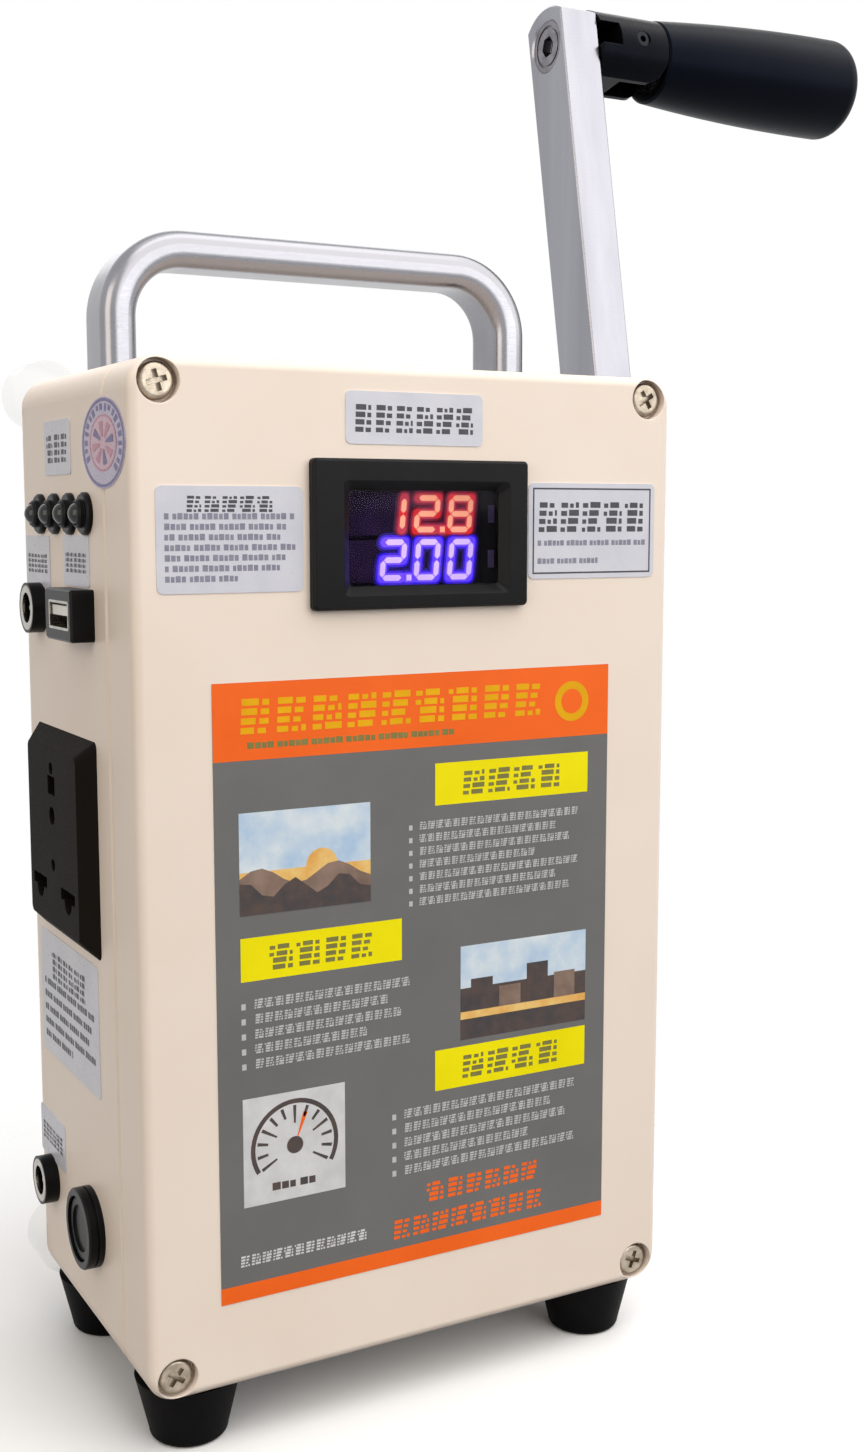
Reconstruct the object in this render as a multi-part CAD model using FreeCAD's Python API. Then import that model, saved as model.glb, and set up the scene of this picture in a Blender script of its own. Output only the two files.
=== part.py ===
import FreeCAD, Part
import math
import os

from FreeCAD import Placement, Rotation
from FreeCAD import Vector as V

os.makedirs("parts", exist_ok=True)

# A bench-top hand crank generator, in millimetres.  X runs to the right along
# the front face, Y from front to back, Z up.  The origin is on the ground
# under the middle of the case.

# ------------------------------------------------------------------ sizes
# Case: a flanged tub (base shell) closed by a shallow front lid
CASE_W = 120.0
CASE_D = 75.0
CASE_H = 200.0
WALL = 3.0
CORNER_R = 6.0
FRONT_EDGE_R = 2.0
REAR_EDGE_R = 5.7
LID_D = 15.0
SEAM_BEVEL = 0.9
GASKET = 1.2
GASKET_GAP = 0.05

# Lid screws, one in each corner post
LID_SCREW_IN_X = 5.8
LID_SCREW_IN_Z = 4.6
LID_POST_R = 5.2
LID_RECESS_R = 4.1
LID_HEAD_R = 3.5
LID_HEAD_H = 2.0
LID_HEAD_EDGE_R = 0.9
LID_HEAD_SUNK = 0.9
LID_SHANK_R = 1.6
LID_SCREW_BITE = 12.0
LID_POST_TIP = 4.0
SCREW_GAP = 0.05
CROSS_W = 1.0
CROSS_L = 4.0
CROSS_DEEP = 1.2
CROSS_TURN = 37.0

# Rubber feet
FOOT_H = 13.0
FOOT_TOP_R = 10.75
FOOT_LOW_R = 8.0
FOOT_RIM_R = 1.5
FOOT_IN_X = 12.0
FOOT_IN_Y = 11.5
FOOT_WELL_R = 4.6
FOOT_WELL_H = 7.0
FOOT_HEAD_R = 4.0
FOOT_HEAD_H = 2.6
FOOT_SHANK_R = 2.0
BOSS_WALL = 1.4
BOSS_H = 7.0

# Clear corner bumpers behind the case
BUMPER_R = 7.3
BUMPER_IN_X = 5.3
BUMPER_IN_TOP = 3.0
BUMPER_IN_LOW = 5.6
BUMPER_BEHIND = 5.0
BUMPER_HUG = 6.0
BUMPER_EDGE_R = 1.2
BUMPER_GAP = 0.3

# Carrying handle: a flat bar bent to a bracket
BAR_T = 7.5
BAR_W = 14.0
BAR_EDGE_R = 3.0
HANDLE_IN_X = 14.0
HANDLE_RISE = 29.0
HANDLE_BEND_R = 18.0
HANDLE_X = -2.0
HANDLE_Y = 7.5
HANDLE_SHANK_R = 2.5
HANDLE_BITE = 11.0
HANDLE_HEAD_R = 4.5
HANDLE_HEAD_H = 3.0

# Panel meter
METER_W = 48.0
METER_H = 29.0
METER_X = -0.6
METER_BELOW_TOP = 32.5
METER_PROUD = 2.0
METER_BEVEL = 0.5
METER_BODY_W = 45.0
METER_BODY_H = 25.4
METER_BODY_D = 14.0
METER_SKIN = 1.6
METER_GAP = 0.25
SCREEN_W = 33.6
SCREEN_H = 18.5
SCREEN_OFF_X = 1.0
SCREEN_OFF_Z = -0.75
SCREEN_BEVEL = 1.8
SCREEN_T = 1.0
METER_BOARD_T = 1.6
METER_DIGITS_T = 6.0

# Indicator lamps along the top of the left side
LAMP_COUNT = 4
LAMP_PITCH = 10.3
LAMP_Y = 3.9
LAMP_BELOW_TOP = 28.5
LAMP_FLANGE_R = 4.15
LAMP_FLANGE_T = 1.2
LAMP_COLLAR_R = 2.8
LAMP_COLLAR_OUT = 2.4
LAMP_BEVEL = 0.4
LAMP_R = 2.25
LAMP_OUT = 3.7
LAMP_NECK_IN = 6.0
LAMP_BODY_IN = 5.0
LAMP_GAP = 0.05

# USB outlet
USB_Y = -6.4
USB_BELOW_TOP = 48.2
USB_W = 17.2
USB_H = 10.2
USB_OUT = 4.8
USB_EDGE_R = 0.8
USB_NECK_W = 15.2
USB_NECK_H = 8.2
USB_NECK_IN = 12.0
USB_SHELL_W = 13.1
USB_SHELL_H = 5.7
USB_SHELL_T = 0.5
USB_SHELL_Y = -0.5
USB_TONGUE_W = 11.0
USB_TONGUE_T = 1.9
USB_TONGUE_UP = 0.9
USB_TONGUE_BACK = 0.5
USB_BACK_T = 3.0
PANEL_GAP = 0.1

# Low-voltage sockets: the upper is level with the USB outlet
JACK_UPPER_Y = 22.1
JACK_LOWER_Y = 25.5
JACK_LOWER_UP = 24.2
JACK_R = 5.3
JACK_OUT = 3.2
JACK_NECK_R = 4.0
JACK_NECK_IN = 14.0
JACK_BORE_R = 3.2
JACK_BORE_DEEP = 9.5
JACK_RING_R = 4.7
JACK_RING_T = 0.6
JACK_PIN_R = 1.05
JACK_PIN_BACK = 0.8
JACK_NUT_AF = 11.0
JACK_NUT_T = 2.0

# Mains outlet
MAINS_Y = 6.45
MAINS_AT = 0.525
MAINS_W = 41.0
MAINS_H = 44.0
MAINS_OUT = 3.4
MAINS_CORNER_R = 1.5
MAINS_BODY_W = 33.0
MAINS_BODY_H = 36.0
MAINS_BODY_IN = 22.0
MAINS_SLOT_DEEP = 12.0
MAINS_EARTH_UP = 11.6
MAINS_EARTH_TOP = 2.9
MAINS_CENTRE_UP = 4.6
MAINS_POLE_DOWN = 10.6
MAINS_POLE_OUT = 9.9
MAINS_POLE_W = 9.6
MAINS_POLE_H = 2.4
MAINS_POLE_R = 2.5
MAINS_KEY_R = 1.3
MAINS_CONTACT_T = 1.0

# Push switch
SWITCH_Y = -3.6
SWITCH_UP = 24.1
SWITCH_R = 8.4
SWITCH_OUT = 3.4
SWITCH_EDGE_R = 0.5
SWITCH_GROOVE_R = 7.8
SWITCH_GROOVE_OUT = 1.2
SWITCH_GROOVE_W = 0.5
SWITCH_NECK_R = 7.6
SWITCH_NECK_IN = 16.0
SWITCH_BACK_T = 2.0
SWITCH_POCKET_R = 6.8
BUTTON_R = 6.65
BUTTON_T = 2.0
BUTTON_SUNK = 0.5
BUTTON_TRAVEL = 2.0
BUTTON_EDGE_R = 0.5
BUTTON_DISH = 0.5
BUTTON_DISH_R = 4.9
STEM_R = 4.0
STEM_L = 9.0
STEM_GAP = 0.05
SWITCH_NUT_AF = 19.0
SWITCH_NUT_T = 3.0

# Crank axis and its bearing housing on the right side
CRANK_Y = 4.5
CRANK_BELOW_TOP = 34.0
SHAFT_R = 4.0
SHAFT_GAP = 0.03
HOUSING_FLANGE_R = 18.0
HOUSING_FLANGE_T = 4.0
HOUSING_BOSS_R = 11.5
HOUSING_EDGE = 1.0
HOUSING_SCREWS = 3
HOUSING_SCREW_R = 1.5
HOUSING_HEAD_R = 3.0
HOUSING_HEAD_H = 1.8
HOUSING_HEX_AF = 1.5
HOUSING_HEX_DEEP = 1.1
BEARING_R = 8.0
BEARING_T = 5.0
BEARING_GROOVE = 0.4
BEARING_RING_T = 1.3
BEARING_BACK = 0.4
HUB_R = 8.0
HUB_GAP = 0.2

# Crank arm
ARM_OFF = 9.0
ARM_T = 10.5
ARM_W = 15.0
ARM_L = 120.0
ARM_LEAN = 10.8
ARM_END = 9.1
ARM_CORNER = 6.3
ARM_BEVEL = 0.4
DRIVE_FLATS = 6.4
HUB_HEAD_R = 5.5
HUB_HEAD_H = 3.2
HUB_SCREW_R = 2.0
HUB_SCREW_L = 12.0
HUB_HEX_AF = 3.0

# Grip axle screw, countersunk from the inner face of the arm
AXLE_R = 3.0
AXLE_HEAD_R = 6.0
AXLE_SINK_R = 6.5
AXLE_REACH = 6.6
AXLE_HEX_AF = 4.4
AXLE_HEX_DEEP = 2.4
AXLE_GROOVE_R = 4.9
AXLE_GROOVE_W = 0.6
AXLE_GROOVE_DEEP = 0.4

# Folding grip: distances out from the arm's outer face
GRIP_BASE_R = 9.6
GRIP_BASE_L = 19.3
GRIP_BASE_FLAT = 8.0
GRIP_BASE_NOSE_R = 5.0
WINDOW_L = 5.5
WINDOW_LOW = -1.5
WINDOW_HIGH = 4.2
PIN_OUT = 12.0
PIN_UP = 1.0
PIN_R = 1.9
PIN_BORE_R = 0.8
PIN_SHORT = 0.4
PIN_GAP = 0.05
TONGUE_W = 7.8
TONGUE_GAP = 0.1
EYE_R = 4.2
EYE_GAP = 0.3
TONGUE_SHORT = 0.2
STEM_ROD_R = 3.0
STEM_ROD_GAP = 0.06
LINK_END = 72.0
LINK_HEAD_R = 4.6
LINK_HEAD_T = 3.0

# Grip tube, sleeve and cap
CORE_R = 5.8
CORE_START = 19.6
CORE_END = 76.4
CORE_FLANGE_R = 7.2
CORE_FLANGE_T = 2.0
CHAMBER_R = 4.9
CHAMBER_START = 45.0
SPRING_R = 4.3
SPRING_T = 0.8
SLEEVE_GAP = 0.08
SLEEVE_MOUTH_R = 9.8
SLEEVE_MID_R = 11.4
SLEEVE_MID_AT = 40.0
SLEEVE_BACK_R = 12.5
SLEEVE_END = 80.5
SLEEVE_END_R = 4.4
SLEEVE_CHAMFER = 0.5
SLEEVE_SIDE_GAP = 0.15
CLIP_R = 7.0
CLIP_T = 1.2
CLIP_GROOVE = 0.4
CLIP_AT = 73.0
CAP_R = 7.4
CAP_T = 2.6
CAP_BEVEL = 0.4

# Gear train: crank wheel, compound idler, rotor pinion
MODULE = 1.0
PRESSURE = 25.0
BACKLASH = 0.12
ADDENDUM = 0.95
DEDENDUM = 1.25
CRANK_TEETH = 48
PINION_TEETH = 12
IDLER_TEETH = 36
GEAR_T = 6.0
GEAR_STEP = 2.0
GEAR_CLEAR = 2.0
GEAR_HUB_R = 8.0
LIGHTENING = 5
LIGHTENING_R = 4.5
LIGHTENING_AT = 15.0
IDLER_HUB_R = 4.6
IDLER_AXLE_R = 2.5
IDLER_GAP = 0.03

# Gearbox plates
PLATE_T = 2.5
PLATE_IN_X = 3.0
PLATE_FRONT_Y = -18.0
PLATE_OVER = 20.0
PLATE_R = 8.0
PLATE_TAB = 12.0
PLATE_STAKE_IN = 12.0
STAKE_R = 2.0
STAKE_HEAD_R = 3.2
STAKE_HEAD_T = 1.6
STAKE_GAP = 0.05

# Generator
CAN_R = 18.0
CAN_T = 1.2
CAN_L = 55.0
MAGNET_T = 3.2
MAGNET_L = 34.0
MAGNET_ARC = 120.0
ROTOR_GAP = 0.8
ROTOR_L = 30.0
ROTOR_SLOTS = 5
ROTOR_SLOT_W = 3.0
ROTOR_SLOT_DEEP = 6.0
WINDING_R = 10.0
WINDING_T = 4.5
COMMUTATOR_R = 4.5
COMMUTATOR_L = 7.0
ROTOR_SHAFT_R = 2.0
ROTOR_SHAFT_GAP = 0.03
CAN_NOSE_R = 5.0
END_CAP_T = 3.0

# Battery pack
CELL_R = 9.2
CELL_L = 65.0
CELL_PITCH = 19.6
COLUMN_COUNT = 4
RANK_COUNT = 2
CELL_GAP = 0.2
PACK_X = 5.0
TRAY_FLOOR = 4.0
TRAY_WALL = 1.6
TRAY_H = 14.0

# Inverter board on the rear wall
BOARD_X0 = -34.0
BOARD_X1 = 14.0
BOARD_UP0 = 79.0
BOARD_BELOW_TOP = 13.0
BOARD_T = 1.6
BOARD_OFF = 5.4
BOARD_EDGE = 5.0
COIL_W = 26.0
COIL_H = 22.0
COIL_T = 18.0
CAP_CAN_R = 6.0
CAP_CAN_L = 20.0

# ------------------------------------------------------ derived positions
LEFT = -CASE_W / 2
RIGHT = CASE_W / 2
FRONT = -CASE_D / 2
BACK = CASE_D / 2
BOTTOM = FOOT_H
TOP = FOOT_H + CASE_H
SEAM = FRONT + LID_D
MID_Z = (BOTTOM + TOP) / 2
SHORT = 1.0
ARC_IN = 1 - math.sqrt(0.5)
HANDLE_PITCH = CASE_W - 2 * HANDLE_IN_X
MAINS_Z = BOTTOM + MAINS_AT * CASE_H
PLATE_RIGHT_X = RIGHT - WALL - PLATE_IN_X
ARM_X = RIGHT + ARM_OFF

AXES = {
    "x": (V(0, 1, 0), V(0, 0, 1), V(1, 0, 0)),
    "y": (V(1, 0, 0), V(0, 0, 1), V(0, 1, 0)),
    "z": (V(1, 0, 0), V(0, 1, 0), V(0, 0, 1)),
}


# ------------------------------------------------------------------ tools
def box(x0, x1, y0, y1, z0, z1):
    """A block between two opposite corners."""
    return Part.makeBox(x1 - x0, y1 - y0, z1 - z0, V(x0, y0, z0))


def rod(radius, start, end):
    """A round bar between two points."""
    return Part.makeCylinder(radius, (end - start).Length, start, end - start)


def tube(outer, inner, start, end):
    """A round tube between two points."""
    return rod(outer, start, end).cut(rod(inner, start, end))


def cone(radius0, radius1, start, end):
    """A round taper between two points."""
    length = (end - start).Length
    return Part.makeCone(radius0, radius1, length, start, end - start)


def across(radius, y, z, x0, x1):
    """A round bar along X."""
    return rod(radius, V(x0, y, z), V(x1, y, z))


def rounded_wire(axis, at, u, v, width, height, radius):
    """The outline of a rounded rectangle square to an axis."""
    along_u, along_v, normal = AXES[axis]
    edges = []
    spots = []
    for sign_u, sign_v, start in ((1, 1, 0), (-1, 1, 90), (-1, -1, 180), (1, -1, 270)):
        arc = []
        for step in (0, 45, 90):
            angle = math.radians(start + step)
            a = u + sign_u * (width / 2 - radius) + radius * math.cos(angle)
            b = v + sign_v * (height / 2 - radius) + radius * math.sin(angle)
            arc.append(along_u * a + along_v * b + normal * at)
        if spots:
            edges.append(Part.LineSegment(spots[-1], arc[0]).toShape())
        edges.append(Part.Arc(*arc).toShape())
        spots.extend(arc)
    edges.append(Part.LineSegment(spots[-1], spots[0]).toShape())
    return Part.Wire(edges)


def slab(axis, low, high, u, v, width, height, radius):
    """A plate with round corners, from one level to another along an axis."""
    wire = rounded_wire(axis, low, u, v, width, height, radius)
    return Part.Face(wire).extrude(AXES[axis][2] * (high - low))


def frustum(axis, low, high, u, v, size_low, size_high, radius):
    """A plate whose rounded outline changes evenly from level to level."""
    first = rounded_wire(axis, low, u, v, size_low[0], size_low[1], radius)
    last = rounded_wire(axis, high, u, v, size_high[0], size_high[1], radius)
    return Part.makeLoft([first, last], True, True)


def hexagon(flats, y, z, x0, x1):
    """A hexagonal bar along X, measured across its flats."""
    reach = flats / math.sqrt(3)
    corners = []
    for k in range(7):
        angle = math.radians(60 * k)
        corners.append(V(x0, y + reach * math.cos(angle), z + reach * math.sin(angle)))
    return Part.Face(Part.makePolygon(corners)).extrude(V(x1 - x0, 0, 0))


def edges_on(shape, axis, value, reach=0.01):
    """The edges that lie in the plane axis = value."""
    found = []
    for edge in shape.Edges:
        bound = edge.BoundBox
        low = getattr(bound, axis.upper() + "Min")
        high = getattr(bound, axis.upper() + "Max")
        if abs(low - value) < reach and abs(high - value) < reach:
            found.append(edge)
    return found


def revolve(points, start, direction):
    """Turns a closed outline of (distance, radius) points about an axis.

    The axis starts at start.  A point with a third value is the middle of an
    arc between its neighbours.
    """
    direction = V(direction).normalize()
    side = direction.cross(V(0, 0, 1))
    if side.Length < 0.1:
        side = V(1, 0, 0)
    side.normalize()
    spots = [start + direction * p[0] + side * p[1] for p in points]
    spots.append(spots[0])
    edges = []
    k = 0
    while k < len(points):
        if k + 1 < len(points) and len(points[k + 1]) == 3:
            edges.append(Part.Arc(spots[k], spots[k + 1], spots[k + 2]).toShape())
            k += 2
        else:
            edges.append(Part.LineSegment(spots[k], spots[k + 1]).toShape())
            k += 1
    return Part.Face(Part.Wire(edges)).revolve(start, direction, 360)


def fused(shapes):
    """Several shapes as one solid."""
    whole = shapes[0]
    for shape in shapes[1:]:
        whole = whole.fuse(shape)
    return whole.removeSplitter()


def without(shape, cuts):
    """A shape less several others."""
    for cut in cuts:
        shape = shape.cut(cut)
    return shape


def save(name, shape):
    """Writes one named piece."""
    shape.exportStep("parts/" + name + ".step")


# ------------------------------------------------------------- case shell
def case_outer():
    """The whole outside of the closed case."""
    block = slab("y", FRONT, BACK, 0, MID_Z, CASE_W, CASE_H, CORNER_R)
    block = block.makeFillet(FRONT_EDGE_R, edges_on(block, "y", FRONT))
    return block.makeFillet(REAR_EDGE_R, edges_on(block, "y", BACK))


def lid_screw_spots():
    """Where the four lid screws stand, as (x, z)."""
    reach_x = CASE_W / 2 - LID_SCREW_IN_X
    reach_z = CASE_H / 2 - LID_SCREW_IN_Z
    return [(sx * reach_x, MID_Z + sz * reach_z) for sx in (-1, 1) for sz in (-1, 1)]


def posts(y0, y1):
    """The corner posts that the lid screws pass through."""
    return [rod(LID_POST_R, V(x, y0, z), V(x, y1, z)) for x, z in lid_screw_spots()]


def gasket_ring(side_gap):
    """The seal that lies in a groove along the middle of the bevelled rim."""
    inset = (WALL + SEAM_BEVEL) / 2
    outer = 2 * (inset - GASKET / 2 + side_gap)
    inner = 2 * (inset + GASKET / 2 - side_gap)
    big = slab("y", SEAM, SEAM + GASKET, 0, MID_Z, CASE_W - outer, CASE_H - outer,
               CORNER_R - outer / 2)
    small = slab("y", SEAM, SEAM + GASKET, 0, MID_Z, CASE_W - inner, CASE_H - inner,
                 CORNER_R - inner / 2)
    return big.cut(small)


def meter_hole(y0, y1, gap):
    """The opening behind the panel meter."""
    x = METER_X
    z = TOP - METER_BELOW_TOP
    half_w = METER_BODY_W / 2 + gap
    half_h = METER_BODY_H / 2 + gap
    return box(x - half_w, x + half_w, y0, y1, z - half_h, z + half_h)


def lamp_spots():
    """The middle of each indicator lamp, as (y, z)."""
    first = LAMP_Y - LAMP_PITCH * (LAMP_COUNT - 1) / 2
    z = TOP - LAMP_BELOW_TOP
    return [(first + LAMP_PITCH * k, z) for k in range(LAMP_COUNT)]


def jack_spots():
    """The upper and the lower low-voltage socket, as (y, z)."""
    return [(JACK_UPPER_Y, TOP - USB_BELOW_TOP), (JACK_LOWER_Y, BOTTOM + JACK_LOWER_UP)]


def foot_spots():
    """The middle of each foot, as (x, y), with the foot's name."""
    x = CASE_W / 2 - FOOT_IN_X
    y = CASE_D / 2 - FOOT_IN_Y
    return [
        ("foot_front_left", -x, -y),
        ("foot_front_right", x, -y),
        ("foot_rear_left", -x, y),
        ("foot_rear_right", x, y),
    ]


def handle_legs():
    """The middle of each leg of the carrying handle, along X."""
    return [HANDLE_X - HANDLE_PITCH / 2, HANDLE_X + HANDLE_PITCH / 2]


def housing_screw_spots():
    """The screws that hold the bearing housing to the wall, as (y, z)."""
    ring_r = (HOUSING_FLANGE_R + HOUSING_BOSS_R) / 2
    spots = []
    for k in range(HOUSING_SCREWS):
        angle = math.radians(90 + 360 / HOUSING_SCREWS * k)
        spots.append((CRANK_Y + ring_r * math.cos(angle), crank_z() + ring_r * math.sin(angle)))
    return spots


def stake_spots():
    """The pegs on the rear wall that hold the gearbox plates, as (x, z)."""
    spots = []
    for right in plate_faces():
        x = right - PLATE_T - (PLATE_TAB - PLATE_T) / 2
        for z in plate_stakes_z():
            spots.append((x, z))
    return spots


def left_wall_holes():
    """Everything that is cut through the left wall."""
    x0 = LEFT - SHORT
    x1 = LEFT + WALL + SHORT
    cuts = [across(LAMP_COLLAR_R + LAMP_GAP, y, z, x0, x1) for y, z in lamp_spots()]
    cuts += [across(JACK_NECK_R + PANEL_GAP, y, z, x0, x1) for y, z in jack_spots()]
    cuts.append(slab("x", x0, x1, USB_Y, TOP - USB_BELOW_TOP, USB_NECK_W + 2 * PANEL_GAP,
                     USB_NECK_H + 2 * PANEL_GAP, USB_EDGE_R))
    cuts.append(slab("x", x0, x1, MAINS_Y, MAINS_Z, MAINS_BODY_W + 2 * PANEL_GAP,
                     MAINS_BODY_H + 2 * PANEL_GAP, MAINS_CORNER_R))
    cuts.append(across(SWITCH_NECK_R + PANEL_GAP, SWITCH_Y, BOTTOM + SWITCH_UP, x0, x1))
    return cuts


def foot_bosses(region):
    """The bosses for the foot screws, as far as they lie in one shell."""
    bosses = []
    for _, x, y in foot_spots():
        low = V(x, y, BOTTOM + WALL - SHORT)
        boss = rod(FOOT_SHANK_R + BOSS_WALL, low, V(x, y, BOTTOM + WALL + BOSS_H))
        boss = boss.common(region)
        if boss.Solids:
            bosses.append(boss)
    return bosses


def foot_holes():
    """The holes that the foot screws pass through."""
    holes = []
    for _, x, y in foot_spots():
        low = V(x, y, BOTTOM - SHORT)
        high = V(x, y, BOTTOM + WALL + BOSS_H + SHORT)
        holes.append(rod(FOOT_SHANK_R + SCREW_GAP, low, high))
    return holes


def base_shell(outer):
    """The deep moulded tub, open to the front."""
    shell = outer.common(box(LEFT, RIGHT, SEAM, BACK, BOTTOM, TOP))
    shell = shell.makeChamfer(SEAM_BEVEL, edges_on(shell, "y", SEAM))
    inside = slab("y", SEAM, BACK - WALL, 0, MID_Z, CASE_W - 2 * WALL, CASE_H - 2 * WALL,
                  CORNER_R - WALL)
    inside = inside.makeFillet(REAR_EDGE_R - WALL, edges_on(inside, "y", BACK - WALL))
    shell = shell.cut(without(inside, posts(SEAM, SEAM + LID_SCREW_BITE + LID_POST_TIP)))
    extras = foot_bosses(box(LEFT, RIGHT, SEAM, BACK, BOTTOM, TOP))
    for x, z in stake_spots():
        extras.append(rod(STAKE_R, V(x, BACK - WALL - PLATE_T, z), V(x, BACK - SHORT, z)))
        head = V(x, BACK - WALL - PLATE_T, z)
        extras.append(cone(STAKE_R, STAKE_HEAD_R, head - V(0, STAKE_HEAD_T, 0), head))
    for x, z in board_bosses():
        extras.append(rod(STAKE_R + SHORT, V(x, BACK - WALL - BOARD_OFF, z), V(x, BACK - SHORT, z)))
        extras.append(rod(STAKE_R, V(x, board_front() - SHORT, z), V(x, BACK - SHORT, z)))
    shell = fused([shell] + extras)
    cuts = [gasket_ring(0)]
    for x, z in lid_screw_spots():
        end = SEAM + LID_SCREW_BITE + SHORT
        cuts.append(rod(LID_SHANK_R + SCREW_GAP, V(x, SEAM, z), V(x, end, z)))
    cuts += foot_holes()
    for x in handle_legs():
        low = V(x, HANDLE_Y, TOP - WALL - SHORT)
        cuts.append(rod(HANDLE_SHANK_R + SCREW_GAP, low, V(x, HANDLE_Y, TOP + SHORT)))
    cuts += left_wall_holes()
    cuts.append(across(HOUSING_BOSS_R + PANEL_GAP, CRANK_Y, crank_z(),
                       RIGHT - WALL - SHORT, RIGHT + SHORT))
    for y, z in housing_screw_spots():
        cuts.append(across(HOUSING_SCREW_R, y, z, RIGHT - WALL - SHORT, RIGHT + SHORT))
    return without(shell, cuts)


def front_lid(outer):
    """The shallow front lid, with the meter opening and four screw wells."""
    lid = outer.common(box(LEFT, RIGHT, FRONT, SEAM, BOTTOM, TOP))
    lid = lid.makeChamfer(SEAM_BEVEL, edges_on(lid, "y", SEAM))
    inside = slab("y", FRONT + WALL, SEAM, 0, MID_Z, CASE_W - 2 * WALL, CASE_H - 2 * WALL,
                  CORNER_R - WALL)
    lid = lid.cut(without(inside, posts(FRONT, SEAM)))
    lid = fused([lid] + foot_bosses(box(LEFT, RIGHT, FRONT, SEAM, BOTTOM, TOP)))
    floor = FRONT + LID_HEAD_SUNK + LID_HEAD_H
    cuts = [meter_hole(FRONT - SHORT, FRONT + WALL + SHORT, METER_GAP)] + foot_holes()
    for x, z in lid_screw_spots():
        cuts.append(rod(LID_RECESS_R, V(x, FRONT - SHORT, z), V(x, floor, z)))
        cuts.append(rod(LID_SHANK_R + SCREW_GAP, V(x, floor, z), V(x, SEAM, z)))
    return without(lid, cuts)


def lid_screw(x, z, turn):
    """One lid screw: a low cross-recessed head, left at some turn, and its shank."""
    top = FRONT + LID_HEAD_SUNK
    under = top + LID_HEAD_H
    head = rod(LID_HEAD_R, V(x, top, z), V(x, under, z))
    head = head.makeFillet(LID_HEAD_EDGE_R, edges_on(head, "y", top))
    shank = rod(LID_SHANK_R, V(x, under, z), V(x, SEAM + LID_SCREW_BITE, z))
    half_l = CROSS_L / 2
    half_w = CROSS_W / 2
    deep = top + CROSS_DEEP
    bars = [
        box(x - half_l, x + half_l, top, deep, z - half_w, z + half_w),
        box(x - half_w, x + half_w, top, deep, z - half_l, z + half_l),
    ]
    for bar in bars:
        bar.rotate(V(x, top, z), V(0, 1, 0), turn)
    return without(head.fuse(shank), bars)


def foot(x, y):
    """A rubber foot: a taper with a round rim and a well for its screw."""
    outline = [
        (0, FOOT_WELL_R), (0, FOOT_LOW_R - FOOT_RIM_R),
        (FOOT_RIM_R * ARC_IN, FOOT_LOW_R - FOOT_RIM_R * ARC_IN, "arc"), (FOOT_RIM_R, FOOT_LOW_R),
        (FOOT_H, FOOT_TOP_R), (FOOT_H, FOOT_SHANK_R + SCREW_GAP),
        (FOOT_WELL_H, FOOT_SHANK_R + SCREW_GAP), (FOOT_WELL_H, FOOT_WELL_R),
    ]
    return revolve(outline, V(x, y, 0), V(0, 0, 1))


def foot_screw(x, y):
    """The pan-head screw that holds a foot to its boss."""
    low = FOOT_WELL_H - FOOT_HEAD_H
    head = rod(FOOT_HEAD_R, V(x, y, low), V(x, y, FOOT_WELL_H))
    slot = box(x - FOOT_HEAD_R, x + FOOT_HEAD_R, y - CROSS_W / 2, y + CROSS_W / 2, low, low + CROSS_W)
    shank = rod(FOOT_SHANK_R, V(x, y, FOOT_WELL_H), V(x, y, BOTTOM + WALL + BOSS_H))
    return head.fuse(shank).cut(slot)


def bumper(side, up, outer):
    """A clear pad moulded round one rear corner of the case."""
    x = side * (CASE_W / 2 - BUMPER_IN_X)
    z = TOP - BUMPER_IN_TOP if up > 0 else BOTTOM + BUMPER_IN_LOW
    disc = rod(BUMPER_R, V(x, BACK - BUMPER_HUG, z), V(x, BACK + BUMPER_BEHIND, z))
    disc = disc.makeFillet(BUMPER_EDGE_R, edges_on(disc, "y", BACK + BUMPER_BEHIND))
    pad = disc.cut(outer)
    for _, foot_x, foot_y in foot_spots():
        pad = pad.cut(rod(FOOT_TOP_R + BUMPER_GAP, V(foot_x, foot_y, 0), V(foot_x, foot_y, FOOT_H)))
    return max(pad.Solids, key=lambda solid: solid.Volume)


def carry_handle():
    """The carrying handle: a flat bar bent twice, with eased edges."""
    x0, x1 = handle_legs()
    x0 -= BAR_T / 2
    x1 += BAR_T / 2
    z1 = TOP + HANDLE_RISE
    middle = (x0 + x1) / 2
    deep = 2 * (HANDLE_BEND_R + HANDLE_RISE)
    outside = slab("y", HANDLE_Y - BAR_W / 2, HANDLE_Y + BAR_W / 2, middle, z1 - deep / 2,
                   x1 - x0, deep, HANDLE_BEND_R)
    inner_r = HANDLE_BEND_R - BAR_T
    inside = slab("y", HANDLE_Y - BAR_W / 2, HANDLE_Y + BAR_W / 2, middle,
                  z1 - BAR_T - deep / 2, x1 - x0 - 2 * BAR_T, deep, inner_r)
    keep = box(x0, x1, HANDLE_Y - BAR_W / 2, HANDLE_Y + BAR_W / 2, TOP, z1)
    bar = outside.cut(inside).common(keep)
    rims = edges_on(bar, "y", HANDLE_Y - BAR_W / 2) + edges_on(bar, "y", HANDLE_Y + BAR_W / 2)
    rims = [edge for edge in rims if edge.BoundBox.ZMax > TOP + SHORT]
    bar = bar.makeFillet(BAR_EDGE_R, rims)
    bores = []
    for x in handle_legs():
        high = V(x, HANDLE_Y, TOP + HANDLE_BITE)
        bores.append(rod(HANDLE_SHANK_R, V(x, HANDLE_Y, TOP), high))
    return without(bar, bores)


def handle_screw(x):
    """The cap screw that comes up through the case into a handle leg."""
    under = TOP - WALL
    head = rod(HANDLE_HEAD_R, V(x, HANDLE_Y, under - HANDLE_HEAD_H), V(x, HANDLE_Y, under))
    shank = rod(HANDLE_SHANK_R, V(x, HANDLE_Y, under), V(x, HANDLE_Y, TOP + HANDLE_BITE))
    return head.fuse(shank)


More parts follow.
